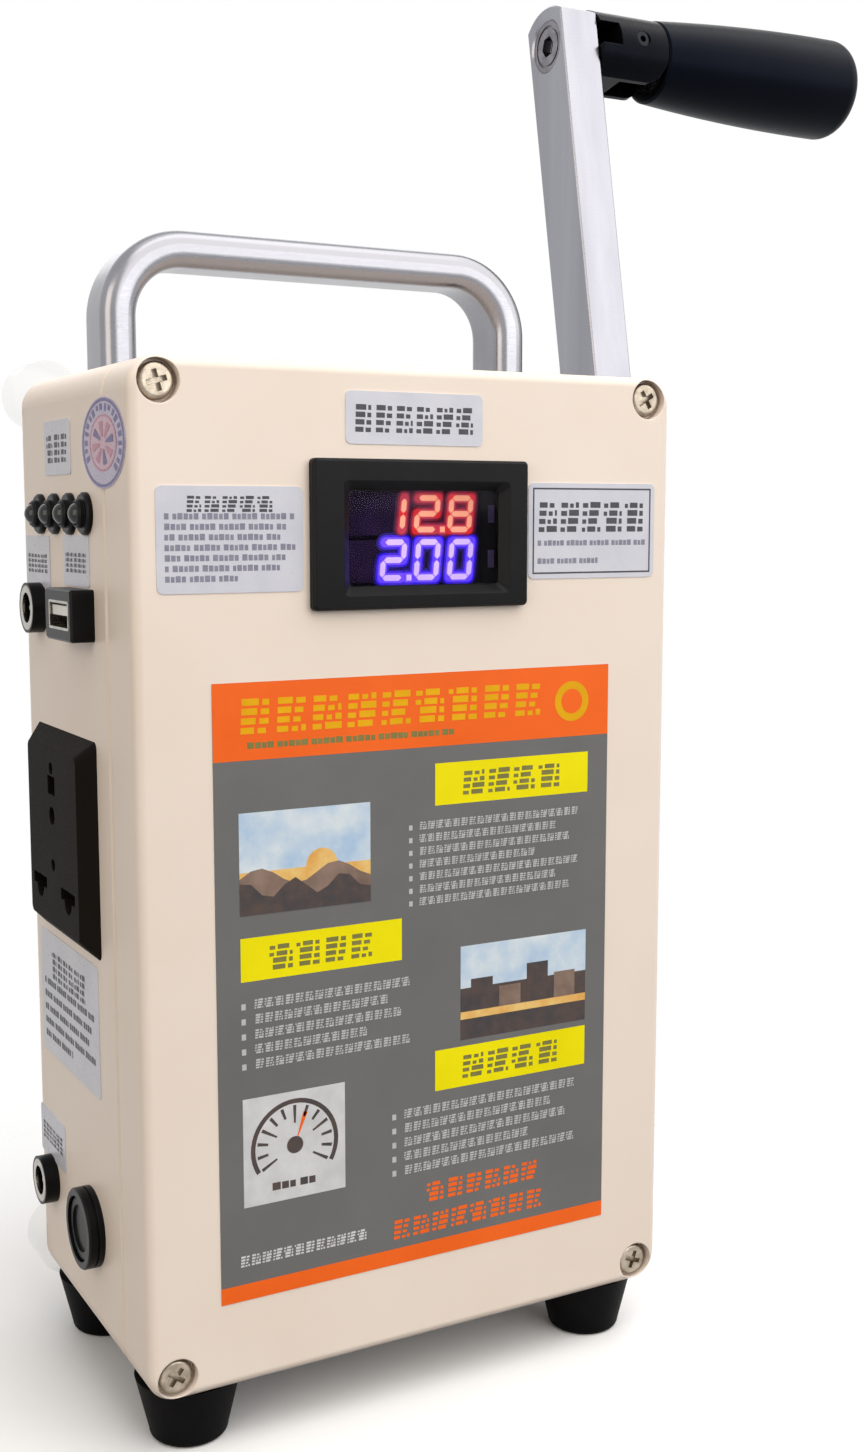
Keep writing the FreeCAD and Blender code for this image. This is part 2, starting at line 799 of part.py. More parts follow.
def make_case():
    """The case with its lid, feet, bumpers and handle."""
    outer = case_outer()
    save("base_shell", base_shell(outer))
    save("front_lid", front_lid(outer))
    save("lid_gasket", gasket_ring(GASKET_GAP))
    screws = [lid_screw(x, z, at * CROSS_TURN) for at, (x, z) in enumerate(lid_screw_spots(), 1)]
    save("lid_screws", Part.makeCompound(screws))
    for name, x, y in foot_spots():
        save(name, foot(x, y))
    save("foot_screws", Part.makeCompound([foot_screw(x, y) for _, x, y in foot_spots()]))
    for side, word in ((-1, "left"), (1, "right")):
        save("bumper_lower_" + word, bumper(side, -1, outer))
        save("bumper_upper_" + word, bumper(side, 1, outer))
    save("carry_handle", carry_handle())
    save("handle_screws", Part.makeCompound([handle_screw(x) for x in handle_legs()]))


# --------------------------------------------------------- front and sides
def make_meter():
    """The panel meter: bezel with a bevelled opening, window and board."""
    x = METER_X
    z = TOP - METER_BELOW_TOP
    face = FRONT - METER_PROUD
    back = FRONT + METER_BODY_D
    screen_x = x + SCREEN_OFF_X
    screen_z = z + SCREEN_OFF_Z
    plate = slab("y", face, FRONT, x, z, METER_W, METER_H, SHORT)
    plate = plate.makeChamfer(METER_BEVEL, edges_on(plate, "y", face))
    body = meter_hole(FRONT, back, 0)
    half_w = METER_BODY_W / 2 - METER_SKIN
    half_h = METER_BODY_H / 2 - METER_SKIN
    window_y = face + SCREEN_BEVEL
    hollow = box(x - half_w, x + half_w, window_y + SCREEN_T, back, z - half_h, z + half_h)
    wide = (SCREEN_W + 2 * SCREEN_BEVEL, SCREEN_H + 2 * SCREEN_BEVEL)
    mouth = frustum("y", face, window_y, screen_x, screen_z, wide, (SCREEN_W, SCREEN_H), SHORT)
    pane_hole = box(screen_x - SCREEN_W / 2, screen_x + SCREEN_W / 2, window_y,
                    window_y + SCREEN_T, screen_z - SCREEN_H / 2, screen_z + SCREEN_H / 2)
    save("meter_bezel", without(plate.fuse(body), [hollow, mouth, pane_hole]))
    save("meter_window", pane_hole)
    board = box(x - half_w, x + half_w, back - METER_BOARD_T, back, z - half_h, z + half_h)
    parts = [board]
    for side in (-1, 1):
        mid = screen_z + side * SCREEN_H / 4
        high = SCREEN_H / 4 - SHORT / 2
        parts.append(box(screen_x - SCREEN_W / 2 + SHORT, screen_x + SCREEN_W / 2 - SHORT,
                         back - METER_BOARD_T - METER_DIGITS_T, back - METER_BOARD_T,
                         mid - high, mid + high))
    save("meter_board", fused(parts))


def make_lamps():
    """Four panel lamps, each a clear dome in a stepped black bezel."""
    bezels = []
    lamps = []
    for y, z in lamp_spots():
        flange = across(LAMP_FLANGE_R, y, z, LEFT - LAMP_FLANGE_T, LEFT)
        flange = flange.makeChamfer(LAMP_BEVEL, edges_on(flange, "x", LEFT - LAMP_FLANGE_T))
        collar = across(LAMP_COLLAR_R, y, z, LEFT - LAMP_COLLAR_OUT, LEFT + WALL + LAMP_NECK_IN)
        collar = collar.makeChamfer(LAMP_BEVEL, edges_on(collar, "x", LEFT - LAMP_COLLAR_OUT))
        bore = across(LAMP_R, y, z, LEFT - LAMP_OUT, LEFT + WALL + LAMP_NECK_IN)
        bezels.append(flange.fuse(collar).cut(bore))
        lamps.append(revolve([
            (0, 0), (LAMP_R * ARC_IN, LAMP_R - LAMP_R * ARC_IN, "arc"), (LAMP_R, LAMP_R),
            (LAMP_OUT + LAMP_BODY_IN, LAMP_R), (LAMP_OUT + LAMP_BODY_IN, 0),
        ], V(LEFT - LAMP_OUT, y, z), V(1, 0, 0)))
    save("led_bezels", Part.makeCompound(bezels))
    save("led_lamps", Part.makeCompound(lamps))


def make_jacks():
    """Two coaxial low-voltage sockets with their contacts and nuts."""
    contacts = []
    nuts = []
    face = LEFT - JACK_OUT
    back = LEFT + JACK_NECK_IN
    for name, (y, z) in zip(("dc_jack_upper", "dc_jack_lower"), jack_spots()):
        barrel = across(JACK_R, y, z, face, LEFT)
        neck = across(JACK_NECK_R, y, z, LEFT, back)
        bore = across(JACK_BORE_R, y, z, face, face + JACK_BORE_DEEP)
        seat = across(JACK_RING_R, y, z, face, face + JACK_RING_T)
        pin_hole = across(JACK_PIN_R, y, z, face, back)
        save(name, without(barrel.fuse(neck), [bore, seat, pin_hole]))
        contacts.append(seat.cut(bore))
        tip = face + JACK_PIN_BACK
        pin = across(JACK_PIN_R, y, z, tip, back + JACK_NUT_T)
        contacts.append(pin.makeChamfer(JACK_PIN_R / 2, edges_on(pin, "x", tip)))
        inner = LEFT + WALL
        nut = hexagon(JACK_NUT_AF, y, z, inner, inner + JACK_NUT_T)
        nuts.append(nut.cut(across(JACK_NECK_R, y, z, inner, inner + JACK_NUT_T)))
    save("dc_contacts", Part.makeCompound(contacts))
    save("dc_jack_nuts", Part.makeCompound(nuts))


def make_usb():
    """A USB outlet: moulded surround, metal shell and contact tongue."""
    y = USB_Y
    z = TOP - USB_BELOW_TOP
    face = LEFT - USB_OUT
    back = LEFT + USB_NECK_IN
    block = slab("x", face, LEFT, y, z, USB_W, USB_H, USB_EDGE_R)
    block = block.makeChamfer(USB_EDGE_R / 2, edges_on(block, "x", face))
    neck = slab("x", LEFT, back, y, z, USB_NECK_W, USB_NECK_H, USB_EDGE_R)
    shell_y = y + USB_SHELL_Y
    floor = back - USB_BACK_T
    outer = slab("x", face, floor, shell_y, z, USB_SHELL_W, USB_SHELL_H, USB_SHELL_T)
    save("usb_housing", block.fuse(neck).cut(outer))
    inner = box(face, floor, shell_y - USB_SHELL_W / 2 + USB_SHELL_T,
                shell_y + USB_SHELL_W / 2 - USB_SHELL_T, z - USB_SHELL_H / 2 + USB_SHELL_T,
                z + USB_SHELL_H / 2 - USB_SHELL_T)
    save("usb_shell", outer.cut(inner))
    low = z + USB_TONGUE_UP - USB_TONGUE_T / 2
    save("usb_tongue", box(face + USB_TONGUE_BACK, floor, shell_y - USB_TONGUE_W / 2,
                           shell_y + USB_TONGUE_W / 2, low, low + USB_TONGUE_T))


def mains_slots(x0, x1, inset):
    """The holes of the mains outlet, each smaller by an inset all round."""
    y = MAINS_Y
    z = MAINS_Z
    earth = z + MAINS_EARTH_UP
    key = MAINS_KEY_R - inset
    half = MAINS_POLE_R - inset
    holes = [
        across(key, y, earth + MAINS_EARTH_TOP, x0, x1).fuse(
            box(x0, x1, y - half, y + half, earth - 2 * MAINS_KEY_R + inset,
                earth + MAINS_KEY_R - inset)),
        across(key + MAINS_POLE_H / 4, y, z + MAINS_CENTRE_UP, x0, x1),
        across(key, y, z - MAINS_POLE_DOWN + 2 * MAINS_POLE_H, x0, x1),
    ]
    for side in (-1, 1):
        mid = y + side * MAINS_POLE_OUT
        low = z - MAINS_POLE_DOWN
        bar = box(x0, x1, mid - MAINS_POLE_W / 2 + inset, mid + MAINS_POLE_W / 2 - inset,
                  low - MAINS_POLE_H / 2 + inset, low + MAINS_POLE_H / 2 - inset)
        holes.append(bar.fuse(across(half, mid, low - MAINS_POLE_H / 2, x0, x1)))
    return holes


def make_mains():
    """The mains outlet: a bevelled plate, its body and the contacts."""
    y = MAINS_Y
    z = MAINS_Z
    face = LEFT - MAINS_OUT
    bevel = 2 * MAINS_OUT
    plate = frustum("x", face, LEFT, y, z, (MAINS_W - bevel, MAINS_H - bevel),
                    (MAINS_W, MAINS_H), MAINS_CORNER_R)
    body = slab("x", LEFT, LEFT + MAINS_BODY_IN, y, z, MAINS_BODY_W, MAINS_BODY_H,
                MAINS_CORNER_R)
    deep = LEFT + MAINS_SLOT_DEEP
    save("ac_socket_body", without(plate.fuse(body), mains_slots(face, deep, 0)))
    blades = mains_slots(deep - MAINS_CONTACT_T, deep, SCREW_GAP)
    save("ac_contacts", Part.makeCompound(blades))


def make_switch():
    """The latching push switch on the lower left side."""
    y = SWITCH_Y
    z = BOTTOM + SWITCH_UP
    face = LEFT - SWITCH_OUT
    end = LEFT + SWITCH_NECK_IN
    front = face + BUTTON_SUNK
    floor = front + BUTTON_T + BUTTON_TRAVEL + SHORT
    ring = across(SWITCH_R, y, z, face, LEFT)
    ring = ring.makeFillet(SWITCH_EDGE_R, edges_on(ring, "x", face))
    right = LEFT - SWITCH_GROOVE_OUT
    ring = ring.cut(tube(SWITCH_R, SWITCH_GROOVE_R, V(right - SWITCH_GROOVE_W, y, z), V(right, y, z)))
    neck = across(SWITCH_NECK_R, y, z, LEFT, end)
    pocket = across(SWITCH_POCKET_R, y, z, face, floor)
    bore = across(STEM_R + STEM_GAP, y, z, floor, end - SWITCH_BACK_T)
    save("switch_ring", without(ring.fuse(neck), [pocket, bore]))
    cap = across(BUTTON_R, y, z, front, front + BUTTON_T)
    cap = cap.makeFillet(BUTTON_EDGE_R, edges_on(cap, "x", front))
    cap = cap.cut(across(BUTTON_DISH_R, y, z, front, front + BUTTON_DISH))
    stem = across(STEM_R, y, z, front + BUTTON_T, front + BUTTON_T + STEM_L)
    save("power_button", cap.fuse(stem))
    inner = LEFT + WALL
    nut = hexagon(SWITCH_NUT_AF, y, z, inner, inner + SWITCH_NUT_T)
    save("switch_nut", nut.cut(across(SWITCH_NECK_R, y, z, inner, inner + SWITCH_NUT_T)))


# -------------------------------------------------------------- gear train
def crank_z():
    """The height of the crank axis."""
    return TOP - CRANK_BELOW_TOP


def idler_z():
    """The height of the idler axle, one tooth mesh below the crank."""
    return crank_z() - MODULE * (CRANK_TEETH + PINION_TEETH) / 2


def rotor_z():
    """The height of the generator axis, one tooth mesh below the idler."""
    return idler_z() - MODULE * (IDLER_TEETH + PINION_TEETH) / 2


def crank_gear_x():
    """The left face of the crank wheel and of the idler's pinion."""
    return PLATE_RIGHT_X - PLATE_T - GEAR_CLEAR - GEAR_T


def wheel_x():
    """The left face of the idler's wheel and of the rotor pinion."""
    return crank_gear_x() - GEAR_STEP - GEAR_T


def plate_faces():
    """The right face of the left and of the right gearbox plate."""
    return [wheel_x() - GEAR_CLEAR, PLATE_RIGHT_X]


def plate_low():
    """The lower edge of the gearbox plates."""
    return rotor_z() - CAN_R


def plate_high():
    """The upper edge of the gearbox plates."""
    return crank_z() + PLATE_OVER


def plate_stakes_z():
    """The heights of the pegs that hold the plates to the rear wall."""
    return [plate_low() + PLATE_STAKE_IN, plate_high() - PLATE_STAKE_IN]


def involute_angle(base, radius):
    """How far an involute has turned by the time it reaches a radius."""
    angle = math.acos(min(1.0, base / radius))
    return math.tan(angle) - angle


def gear(teeth, phase, z, x0):
    """A spur gear with involute flanks, its axis along X at a height z.

    phase is the direction of one tooth in degrees, from +Y towards +Z.
    """
    pitch = MODULE * teeth / 2
    base = pitch * math.cos(math.radians(PRESSURE))
    tip = pitch + MODULE * ADDENDUM
    root = pitch - MODULE * DEDENDUM
    start = max(base, root)
    half = math.pi / (2 * teeth) - BACKLASH / (4 * pitch)
    half += involute_angle(base, pitch)

    def spot(radius, angle):
        return V(x0, CRANK_Y + radius * math.cos(angle), z + radius * math.sin(angle))

    def flank(radius):
        return half - involute_angle(base, radius)

    middle = (start + tip) / 2
    edges = []
    for k in range(teeth):
        at = math.radians(phase) + 2 * math.pi * k / teeth
        following = at + 2 * math.pi / teeth
        rise = [spot(r, at - flank(r)) for r in (start, middle, tip)]
        fall = [spot(r, at + flank(r)) for r in (tip, middle, start)]
        low = [spot(root, at - flank(start)), spot(root, at + flank(start))]
        if start > root:
            edges.append(Part.LineSegment(low[0], rise[0]).toShape())
        edges.append(Part.Arc(*rise).toShape())
        edges.append(Part.Arc(rise[2], spot(tip, at), fall[0]).toShape())
        edges.append(Part.Arc(*fall).toShape())
        if start > root:
            edges.append(Part.LineSegment(fall[2], low[1]).toShape())
        next_low = spot(root, following - flank(start))
        gap = spot(root, (at + following) / 2)
        edges.append(Part.Arc(low[1], gap, next_low).toShape())
    return Part.Face(Part.Wire(edges)).extrude(V(GEAR_T, 0, 0))


def tooth_gap_above(teeth):
    """The phase that turns a gap between two teeth straight up."""
    return 90 - 180 / teeth


def gearbox_plate(right, high_hole, low_hole):
    """One side plate of the gearbox, with a flange on the rear wall."""
    y1 = BACK - WALL
    left = right - PLATE_T
    z0 = plate_low()
    z1 = plate_high()
    plate = slab("x", left, right, (PLATE_FRONT_Y + y1) / 2, (z0 + z1) / 2,
                 y1 - PLATE_FRONT_Y, z1 - z0, PLATE_R)
    tab = box(right - PLATE_TAB, right, y1 - PLATE_T, y1, z0 + PLATE_R, z1 - PLATE_R)
    cuts = [across(high_hole, CRANK_Y, crank_z(), left, right)]
    cuts.append(across(IDLER_AXLE_R, CRANK_Y, idler_z(), left, right))
    if low_hole:
        cuts.append(across(low_hole, CRANK_Y, rotor_z(), left, right))
    x = right - PLATE_T - (PLATE_TAB - PLATE_T) / 2
    for z in plate_stakes_z():
        cuts.append(rod(STAKE_R + STAKE_GAP, V(x, y1 - PLATE_T, z), V(x, y1, z)))
    return without(plate.fuse(tab).removeSplitter(), cuts)


def make_gearbox():
    """The bearing housing, the plates and the gears between them."""
    z = crank_z()
    left_face, right_face = plate_faces()
    save("gearbox_plate_left",
         gearbox_plate(left_face, SHAFT_R + SHAFT_GAP, CAN_NOSE_R + PANEL_GAP))
    save("gearbox_plate_right", gearbox_plate(right_face, HOUSING_BOSS_R + PANEL_GAP, 0))
    inner = crank_gear_x() + GEAR_T + SHORT
    outer = RIGHT + HOUSING_FLANGE_T
    flange = across(HOUSING_FLANGE_R, CRANK_Y, z, RIGHT, outer)
    flange = flange.makeFillet(HOUSING_EDGE, edges_on(flange, "x", outer))
    boss = across(HOUSING_BOSS_R, CRANK_Y, z, inner, RIGHT)
    seat = BEARING_BACK + BEARING_T
    housing = without(flange.fuse(boss), [
        across(BEARING_R, CRANK_Y, z, inner, inner + seat),
        across(BEARING_R, CRANK_Y, z, outer - seat, outer),
        across(BEARING_R - BEARING_RING_T, CRANK_Y, z, inner, outer),
    ])
    screws = []
    for y, up in housing_screw_spots():
        sink = cone(HOUSING_SCREW_R, HOUSING_HEAD_R, V(outer - HOUSING_HEAD_H, y, up),
                    V(outer, y, up))
        sink = sink.fuse(across(HOUSING_SCREW_R, y, up, RIGHT - WALL, outer))
        housing = housing.cut(sink)
        socket = hexagon(HOUSING_HEX_AF, y, up, outer - HOUSING_HEX_DEEP, outer)
        screws.append(sink.cut(socket))
    save("bearing_housing", housing)
    save("housing_screws", Part.makeCompound(screws))
    bearings = []
    for x in (inner + BEARING_BACK, outer - seat):
        ring = across(BEARING_R, CRANK_Y, z, x, x + BEARING_T)
        bore = across(SHAFT_R + SHAFT_GAP, CRANK_Y, z, x, x + BEARING_T)
        grooves = []
        for face in (x, x + BEARING_T - BEARING_GROOVE):
            wide = across(BEARING_R - BEARING_RING_T, CRANK_Y, z, face, face + BEARING_GROOVE)
            core = across(SHAFT_R + BEARING_RING_T, CRANK_Y, z, face, face + BEARING_GROOVE)
            grooves.append(wide.cut(core))
        bearings.append(without(ring, [bore] + grooves))
    save("shaft_bearings", Part.makeCompound(bearings))
    low = idler_z()
    save("idler_axle", across(IDLER_AXLE_R, CRANK_Y, low, left_face - PLATE_T, right_face))
    hub_left = across(IDLER_HUB_R, CRANK_Y, low, left_face + HUB_GAP, right_face - PLATE_T - HUB_GAP)
    wheel = gear(IDLER_TEETH, -90, low, wheel_x())
    pinion = gear(PINION_TEETH, tooth_gap_above(PINION_TEETH), low, crank_gear_x())
    bore = across(IDLER_AXLE_R + IDLER_GAP, CRANK_Y, low, left_face, right_face)
    save("idler_gear", fused([hub_left, wheel, pinion]).cut(bore))


def make_generator():
    """The generator: can, magnets, end cap and the wound rotor."""
    z = rotor_z()
    front = plate_faces()[0] - PLATE_T
    rear = front - CAN_L
    running = ROTOR_SHAFT_R + ROTOR_SHAFT_GAP
    can = across(CAN_R, CRANK_Y, z, rear, front)
    nose = across(CAN_NOSE_R, CRANK_Y, z, front, front + PLATE_T)
    hollow = across(CAN_R - CAN_T, CRANK_Y, z, rear, front - CAN_T)
    save("generator_can",
         without(can.fuse(nose), [hollow, across(running, CRANK_Y, z, rear, front + PLATE_T)]))
    cap = across(CAN_R - CAN_T, CRANK_Y, z, rear, rear + END_CAP_T)
    save("generator_end_cap", cap.cut(across(running, CRANK_Y, z, rear, rear + END_CAP_T)))
    middle = (rear + front) / 2 + SHORT * 2
    magnet_r = CAN_R - CAN_T - MAGNET_T
    half = MAGNET_L / 2
    magnets = []
    for side in (0, 180):
        sector = Part.makeCylinder(CAN_R - CAN_T, MAGNET_L, V(middle - half, CRANK_Y, z),
                                   V(1, 0, 0), MAGNET_ARC)
        sector = sector.cut(across(magnet_r, CRANK_Y, z, middle - half, middle + half))
        sector.rotate(V(0, CRANK_Y, z), V(1, 0, 0), side)
        magnets.append(sector)
    save("generator_magnets", Part.makeCompound(magnets))
    rotor_r = magnet_r - ROTOR_GAP
    x0 = middle - ROTOR_L / 2
    x1 = middle + ROTOR_L / 2
    stack = across(rotor_r, CRANK_Y, z, x0, x1)
    slots = []
    for k in range(ROTOR_SLOTS):
        slot = box(x0, x1, CRANK_Y - ROTOR_SLOT_W / 2, CRANK_Y + ROTOR_SLOT_W / 2,
                   z + rotor_r - ROTOR_SLOT_DEEP, z + rotor_r + SHORT)
        slot.rotate(V(0, CRANK_Y, z), V(1, 0, 0), 360 / ROTOR_SLOTS * k)
        slots.append(slot)
    stack = without(stack, slots)
    wound = across(WINDING_R, CRANK_Y, z, x0 - WINDING_T, x1 + WINDING_T)
    x2 = x0 - WINDING_T - COMMUTATOR_L
    commutator = across(COMMUTATOR_R, CRANK_Y, z, x2, x0)
    shaft = across(ROTOR_SHAFT_R, CRANK_Y, z, rear, wheel_x() + GEAR_T + SHORT)
    save("generator_rotor", fused([stack, wound, commutator, shaft]))
    pinion = gear(PINION_TEETH, tooth_gap_above(PINION_TEETH), z, wheel_x())
    save("rotor_pinion", pinion.cut(across(ROTOR_SHAFT_R, CRANK_Y, z, wheel_x(), wheel_x() + GEAR_T)))


# ------------------------------------------------------ battery and board
def cell_spots():
    """The middle of each battery cell, as (x, y)."""
    spots = []
    for i in range(COLUMN_COUNT):
        for j in range(RANK_COUNT):
            x = PACK_X + CELL_PITCH * (i - (COLUMN_COUNT - 1) / 2)
            spots.append((x, CELL_PITCH * (j - (RANK_COUNT - 1) / 2)))
    return spots


def make_battery():
    """The battery cells, standing in a tray on the floor of the case."""
    floor = BOTTOM + WALL
    low = floor + TRAY_FLOOR
    reach = 2 * (CELL_R + CELL_GAP + TRAY_WALL)
    tray = slab("z", floor, floor + TRAY_H, PACK_X, 0, CELL_PITCH * (COLUMN_COUNT - 1) + reach,
                CELL_PITCH * (RANK_COUNT - 1) + reach, TRAY_WALL)
    pockets = []
    cells = []
    for x, y in cell_spots():
        pockets.append(rod(CELL_R + CELL_GAP, V(x, y, low), V(x, y, floor + TRAY_H)))
        cells.append(rod(CELL_R, V(x, y, low), V(x, y, low + CELL_L)))
    save("battery_tray", without(tray, pockets))
    save("battery_cells", Part.makeCompound(cells))


def board_front():
    """The front face of the inverter board."""
    return BACK - WALL - BOARD_OFF - BOARD_T


def board_bosses():
    """The four bosses that carry the inverter board, as (x, z)."""
    spots = []
    for x in (BOARD_X0 + BOARD_EDGE, BOARD_X1 - BOARD_EDGE):
        for z in (BOTTOM + BOARD_UP0 + BOARD_EDGE, TOP - BOARD_BELOW_TOP - BOARD_EDGE):
            spots.append((x, z))
    return spots


def make_board():
    """The inverter board with its transformer and two capacitors."""
    front = board_front()
    middle = (BOARD_X0 + BOARD_X1) / 2
    z1 = TOP - BOARD_BELOW_TOP
    board = box(BOARD_X0, BOARD_X1, front, front + BOARD_T, BOTTOM + BOARD_UP0, z1)
    coil_z = z1 - BOARD_EDGE - COIL_H / 2
    parts = [board, slab("y", front - COIL_T, front, middle, coil_z, COIL_W, COIL_H, TRAY_WALL)]
    cap_z = coil_z - COIL_H / 2 - BOARD_EDGE - CAP_CAN_R
    for side in (-1, 1):
        x = middle + side * (CAP_CAN_R + SHORT)
        parts.append(rod(CAP_CAN_R, V(x, front - CAP_CAN_L, cap_z), V(x, front, cap_z)))
    holes = []
    for x, z in board_bosses():
        holes.append(rod(STAKE_R + STAKE_GAP, V(x, front, z), V(x, front + BOARD_T, z)))
    save("inverter_board", without(fused(parts), holes))


# ------------------------------------------------------------------- crank
def lean(shape):
    """Turns a piece from the arm's own frame to where the crank rests.

    In the arm's frame the crank axis is y = z = 0 and the arm points up.
    """
    placed = shape.copy()
    rest = Placement(V(0, CRANK_Y, crank_z()), Rotation(V(1, 0, 0), -ARM_LEAN))
    placed.Placement = rest.multiply(placed.Placement)
    return placed


def out(distance):
    """The X of a point a given distance out from the arm's outer face."""
    return ARM_X + ARM_T + distance


def drive(gap, x0, x1):
    """The double-D section that turns the shaft with the arm."""
    round_part = across(SHAFT_R + gap, 0, 0, x0, x1)
    half = DRIVE_FLATS / 2 + gap
    return round_part.common(box(x0, x1, -half, half, -2 * SHAFT_R, 2 * SHAFT_R))


def crank_arm():
    """The crank arm: a flat bar with low crowned ends."""
    half = ARM_W / 2
    high = [V(ARM_X, half, ARM_L + ARM_CORNER), V(ARM_X, 0, ARM_L + ARM_END),
            V(ARM_X, -half, ARM_L + ARM_CORNER)]
    low = [V(ARM_X, -half, -ARM_CORNER), V(ARM_X, 0, -ARM_END), V(ARM_X, half, -ARM_CORNER)]
    outline = Part.Wire([
        Part.Arc(*high).toShape(),
        Part.LineSegment(high[2], low[0]).toShape(),
        Part.Arc(*low).toShape(),
        Part.LineSegment(low[2], high[0]).toShape(),
    ])
    bar = Part.Face(outline).extrude(V(ARM_T, 0, 0))
    bar = bar.makeChamfer(ARM_BEVEL, edges_on(bar, "x", ARM_X) + edges_on(bar, "x", out(0)))
    sink = AXLE_SINK_R - AXLE_R
    cuts = [
        drive(0, ARM_X, out(0)),
        cone(AXLE_SINK_R, AXLE_R, V(ARM_X, 0, ARM_L), V(ARM_X + sink, 0, ARM_L)),
        across(AXLE_R + SCREW_GAP, 0, ARM_L, ARM_X + sink, out(0)),
    ]
    return without(bar, cuts)


def make_crank():
    """The crank shaft, its gear, the arm and the screws."""
    left_face = plate_faces()[0]
    collar = RIGHT + HOUSING_FLANGE_T + HUB_GAP
    end = out(-ARM_BEVEL) - SHORT
    shaft = fused([
        across(SHAFT_R, 0, 0, left_face - PLATE_T, collar),
        across(HUB_R, 0, 0, collar, ARM_X),
        drive(0, ARM_X, end),
    ])
    tapped = across(HUB_SCREW_R, 0, 0, out(0) - HUB_SCREW_L, end)
    save("crank_shaft", lean(shaft.cut(tapped)))
    x0 = crank_gear_x()
    wheel = gear(CRANK_TEETH, -90, crank_z(), x0)
    hub = across(GEAR_HUB_R, CRANK_Y, crank_z(), left_face + HUB_GAP, x0)
    cuts = [across(SHAFT_R, CRANK_Y, crank_z(), left_face, x0 + GEAR_T)]
    for k in range(LIGHTENING):
        angle = math.radians(360 / LIGHTENING * k)
        y = CRANK_Y + LIGHTENING_AT * math.cos(angle)
        z = crank_z() + LIGHTENING_AT * math.sin(angle)
        cuts.append(across(LIGHTENING_R, y, z, x0, x0 + GEAR_T))
    save("crank_gear", without(wheel.fuse(hub), cuts))
    save("crank_arm", lean(crank_arm()))
    head = across(HUB_HEAD_R, 0, 0, out(0), out(HUB_HEAD_H))
    head = head.makeFillet(SHORT, edges_on(head, "x", out(HUB_HEAD_H)))
    shank = across(HUB_SCREW_R, 0, 0, out(0) - HUB_SCREW_L, out(0))
    socket = hexagon(HUB_HEX_AF, 0, 0, out(HUB_HEAD_H / 2), out(HUB_HEAD_H))
    save("hub_screw", lean(head.fuse(shank).cut(socket)))
    sunk = ARM_X + AXLE_SINK_R - AXLE_HEAD_R
    neck = sunk + AXLE_HEAD_R - AXLE_R
    screw = cone(AXLE_HEAD_R, AXLE_R, V(sunk, 0, ARM_L), V(neck, 0, ARM_L))
    screw = screw.fuse(across(AXLE_R, 0, ARM_L, neck, out(AXLE_REACH)))
    socket = hexagon(AXLE_HEX_AF, 0, ARM_L, sunk, sunk + AXLE_HEX_DEEP)
    ring = tube(AXLE_GROOVE_R, AXLE_GROOVE_R - AXLE_GROOVE_W, V(sunk, 0, ARM_L),
                V(sunk + AXLE_GROOVE_DEEP, 0, ARM_L))
    save("grip_axle_screw", lean(without(screw, [socket, ring])))


# ----------------------------------------------------------- folding grip
def slot_floor():
    """How far out the floor of the base's slot lies."""
    return PIN_OUT - EYE_R - EYE_GAP


def grip_base():
    """The forked base that the grip folds on, screwed to the arm."""
    base = across(GRIP_BASE_R, 0, ARM_L, out(0), out(GRIP_BASE_L))
    flat = ARM_L - GRIP_BASE_FLAT
    base = base.cut(box(out(0), out(GRIP_BASE_L), -ARM_W, ARM_W, flat - GRIP_BASE_R, flat))
    nose = [edge for edge in edges_on(base, "z", flat)
            if edge.BoundBox.XMin > out(GRIP_BASE_L) - SHORT]
    base = base.makeFillet(GRIP_BASE_NOSE_R, nose)
    side = TONGUE_W / 2 + TONGUE_GAP
    cuts = [
        box(out(slot_floor()), out(GRIP_BASE_L), -side, side, flat - SHORT,
            ARM_L + PIN_UP + EYE_R + EYE_GAP),
        box(out(0), out(WINDOW_L), -GRIP_BASE_R, 0, ARM_L + WINDOW_LOW, ARM_L + WINDOW_HIGH),
        across(AXLE_R, 0, ARM_L, out(0), out(slot_floor())),
        cross_pin(PIN_R, GRIP_BASE_R),
    ]
    return without(base, cuts)


def cross_pin(radius, half):
    """A bar across the fork, along the folding axis."""
    x = out(PIN_OUT)
    z = ARM_L + PIN_UP
    return rod(radius, V(x, -half, z), V(x, half, z))


def fold_link():
    """The tongue that turns on the pin, with the stem the grip slides on."""
    half = TONGUE_W / 2
    thick = EYE_R - PIN_UP
    end = CORE_START - TONGUE_SHORT
    tongue = box(out(PIN_OUT), out(end), -half, half, ARM_L - thick, ARM_L + thick)
    stem = across(STEM_ROD_R, 0, ARM_L, out(end), out(LINK_END))
    head = across(LINK_HEAD_R, 0, ARM_L, out(LINK_END - LINK_HEAD_T), out(LINK_END))
    link = fused([cross_pin(EYE_R, half), tongue, stem, head])
    return link.cut(cross_pin(PIN_R + PIN_GAP, half))


def grip_core():
    """The tube the sleeve spins on, with the spring chamber inside."""
    parts = [
        across(CORE_R, 0, ARM_L, out(CORE_START), out(CORE_END)),
        across(CORE_FLANGE_R, 0, ARM_L, out(CORE_START), out(CORE_START + CORE_FLANGE_T)),
    ]
    clip_cut = tube(CORE_R, CORE_R - CLIP_GROOVE, V(out(CLIP_AT), 0, ARM_L),
                    V(out(CLIP_AT + CLIP_T), 0, ARM_L))
    bore = across(STEM_ROD_R + STEM_ROD_GAP, 0, ARM_L, out(CORE_START), out(CHAMBER_START))
    chamber = across(CHAMBER_R, 0, ARM_L, out(CHAMBER_START), out(CORE_END))
    return without(fused(parts), [clip_cut, bore, chamber])


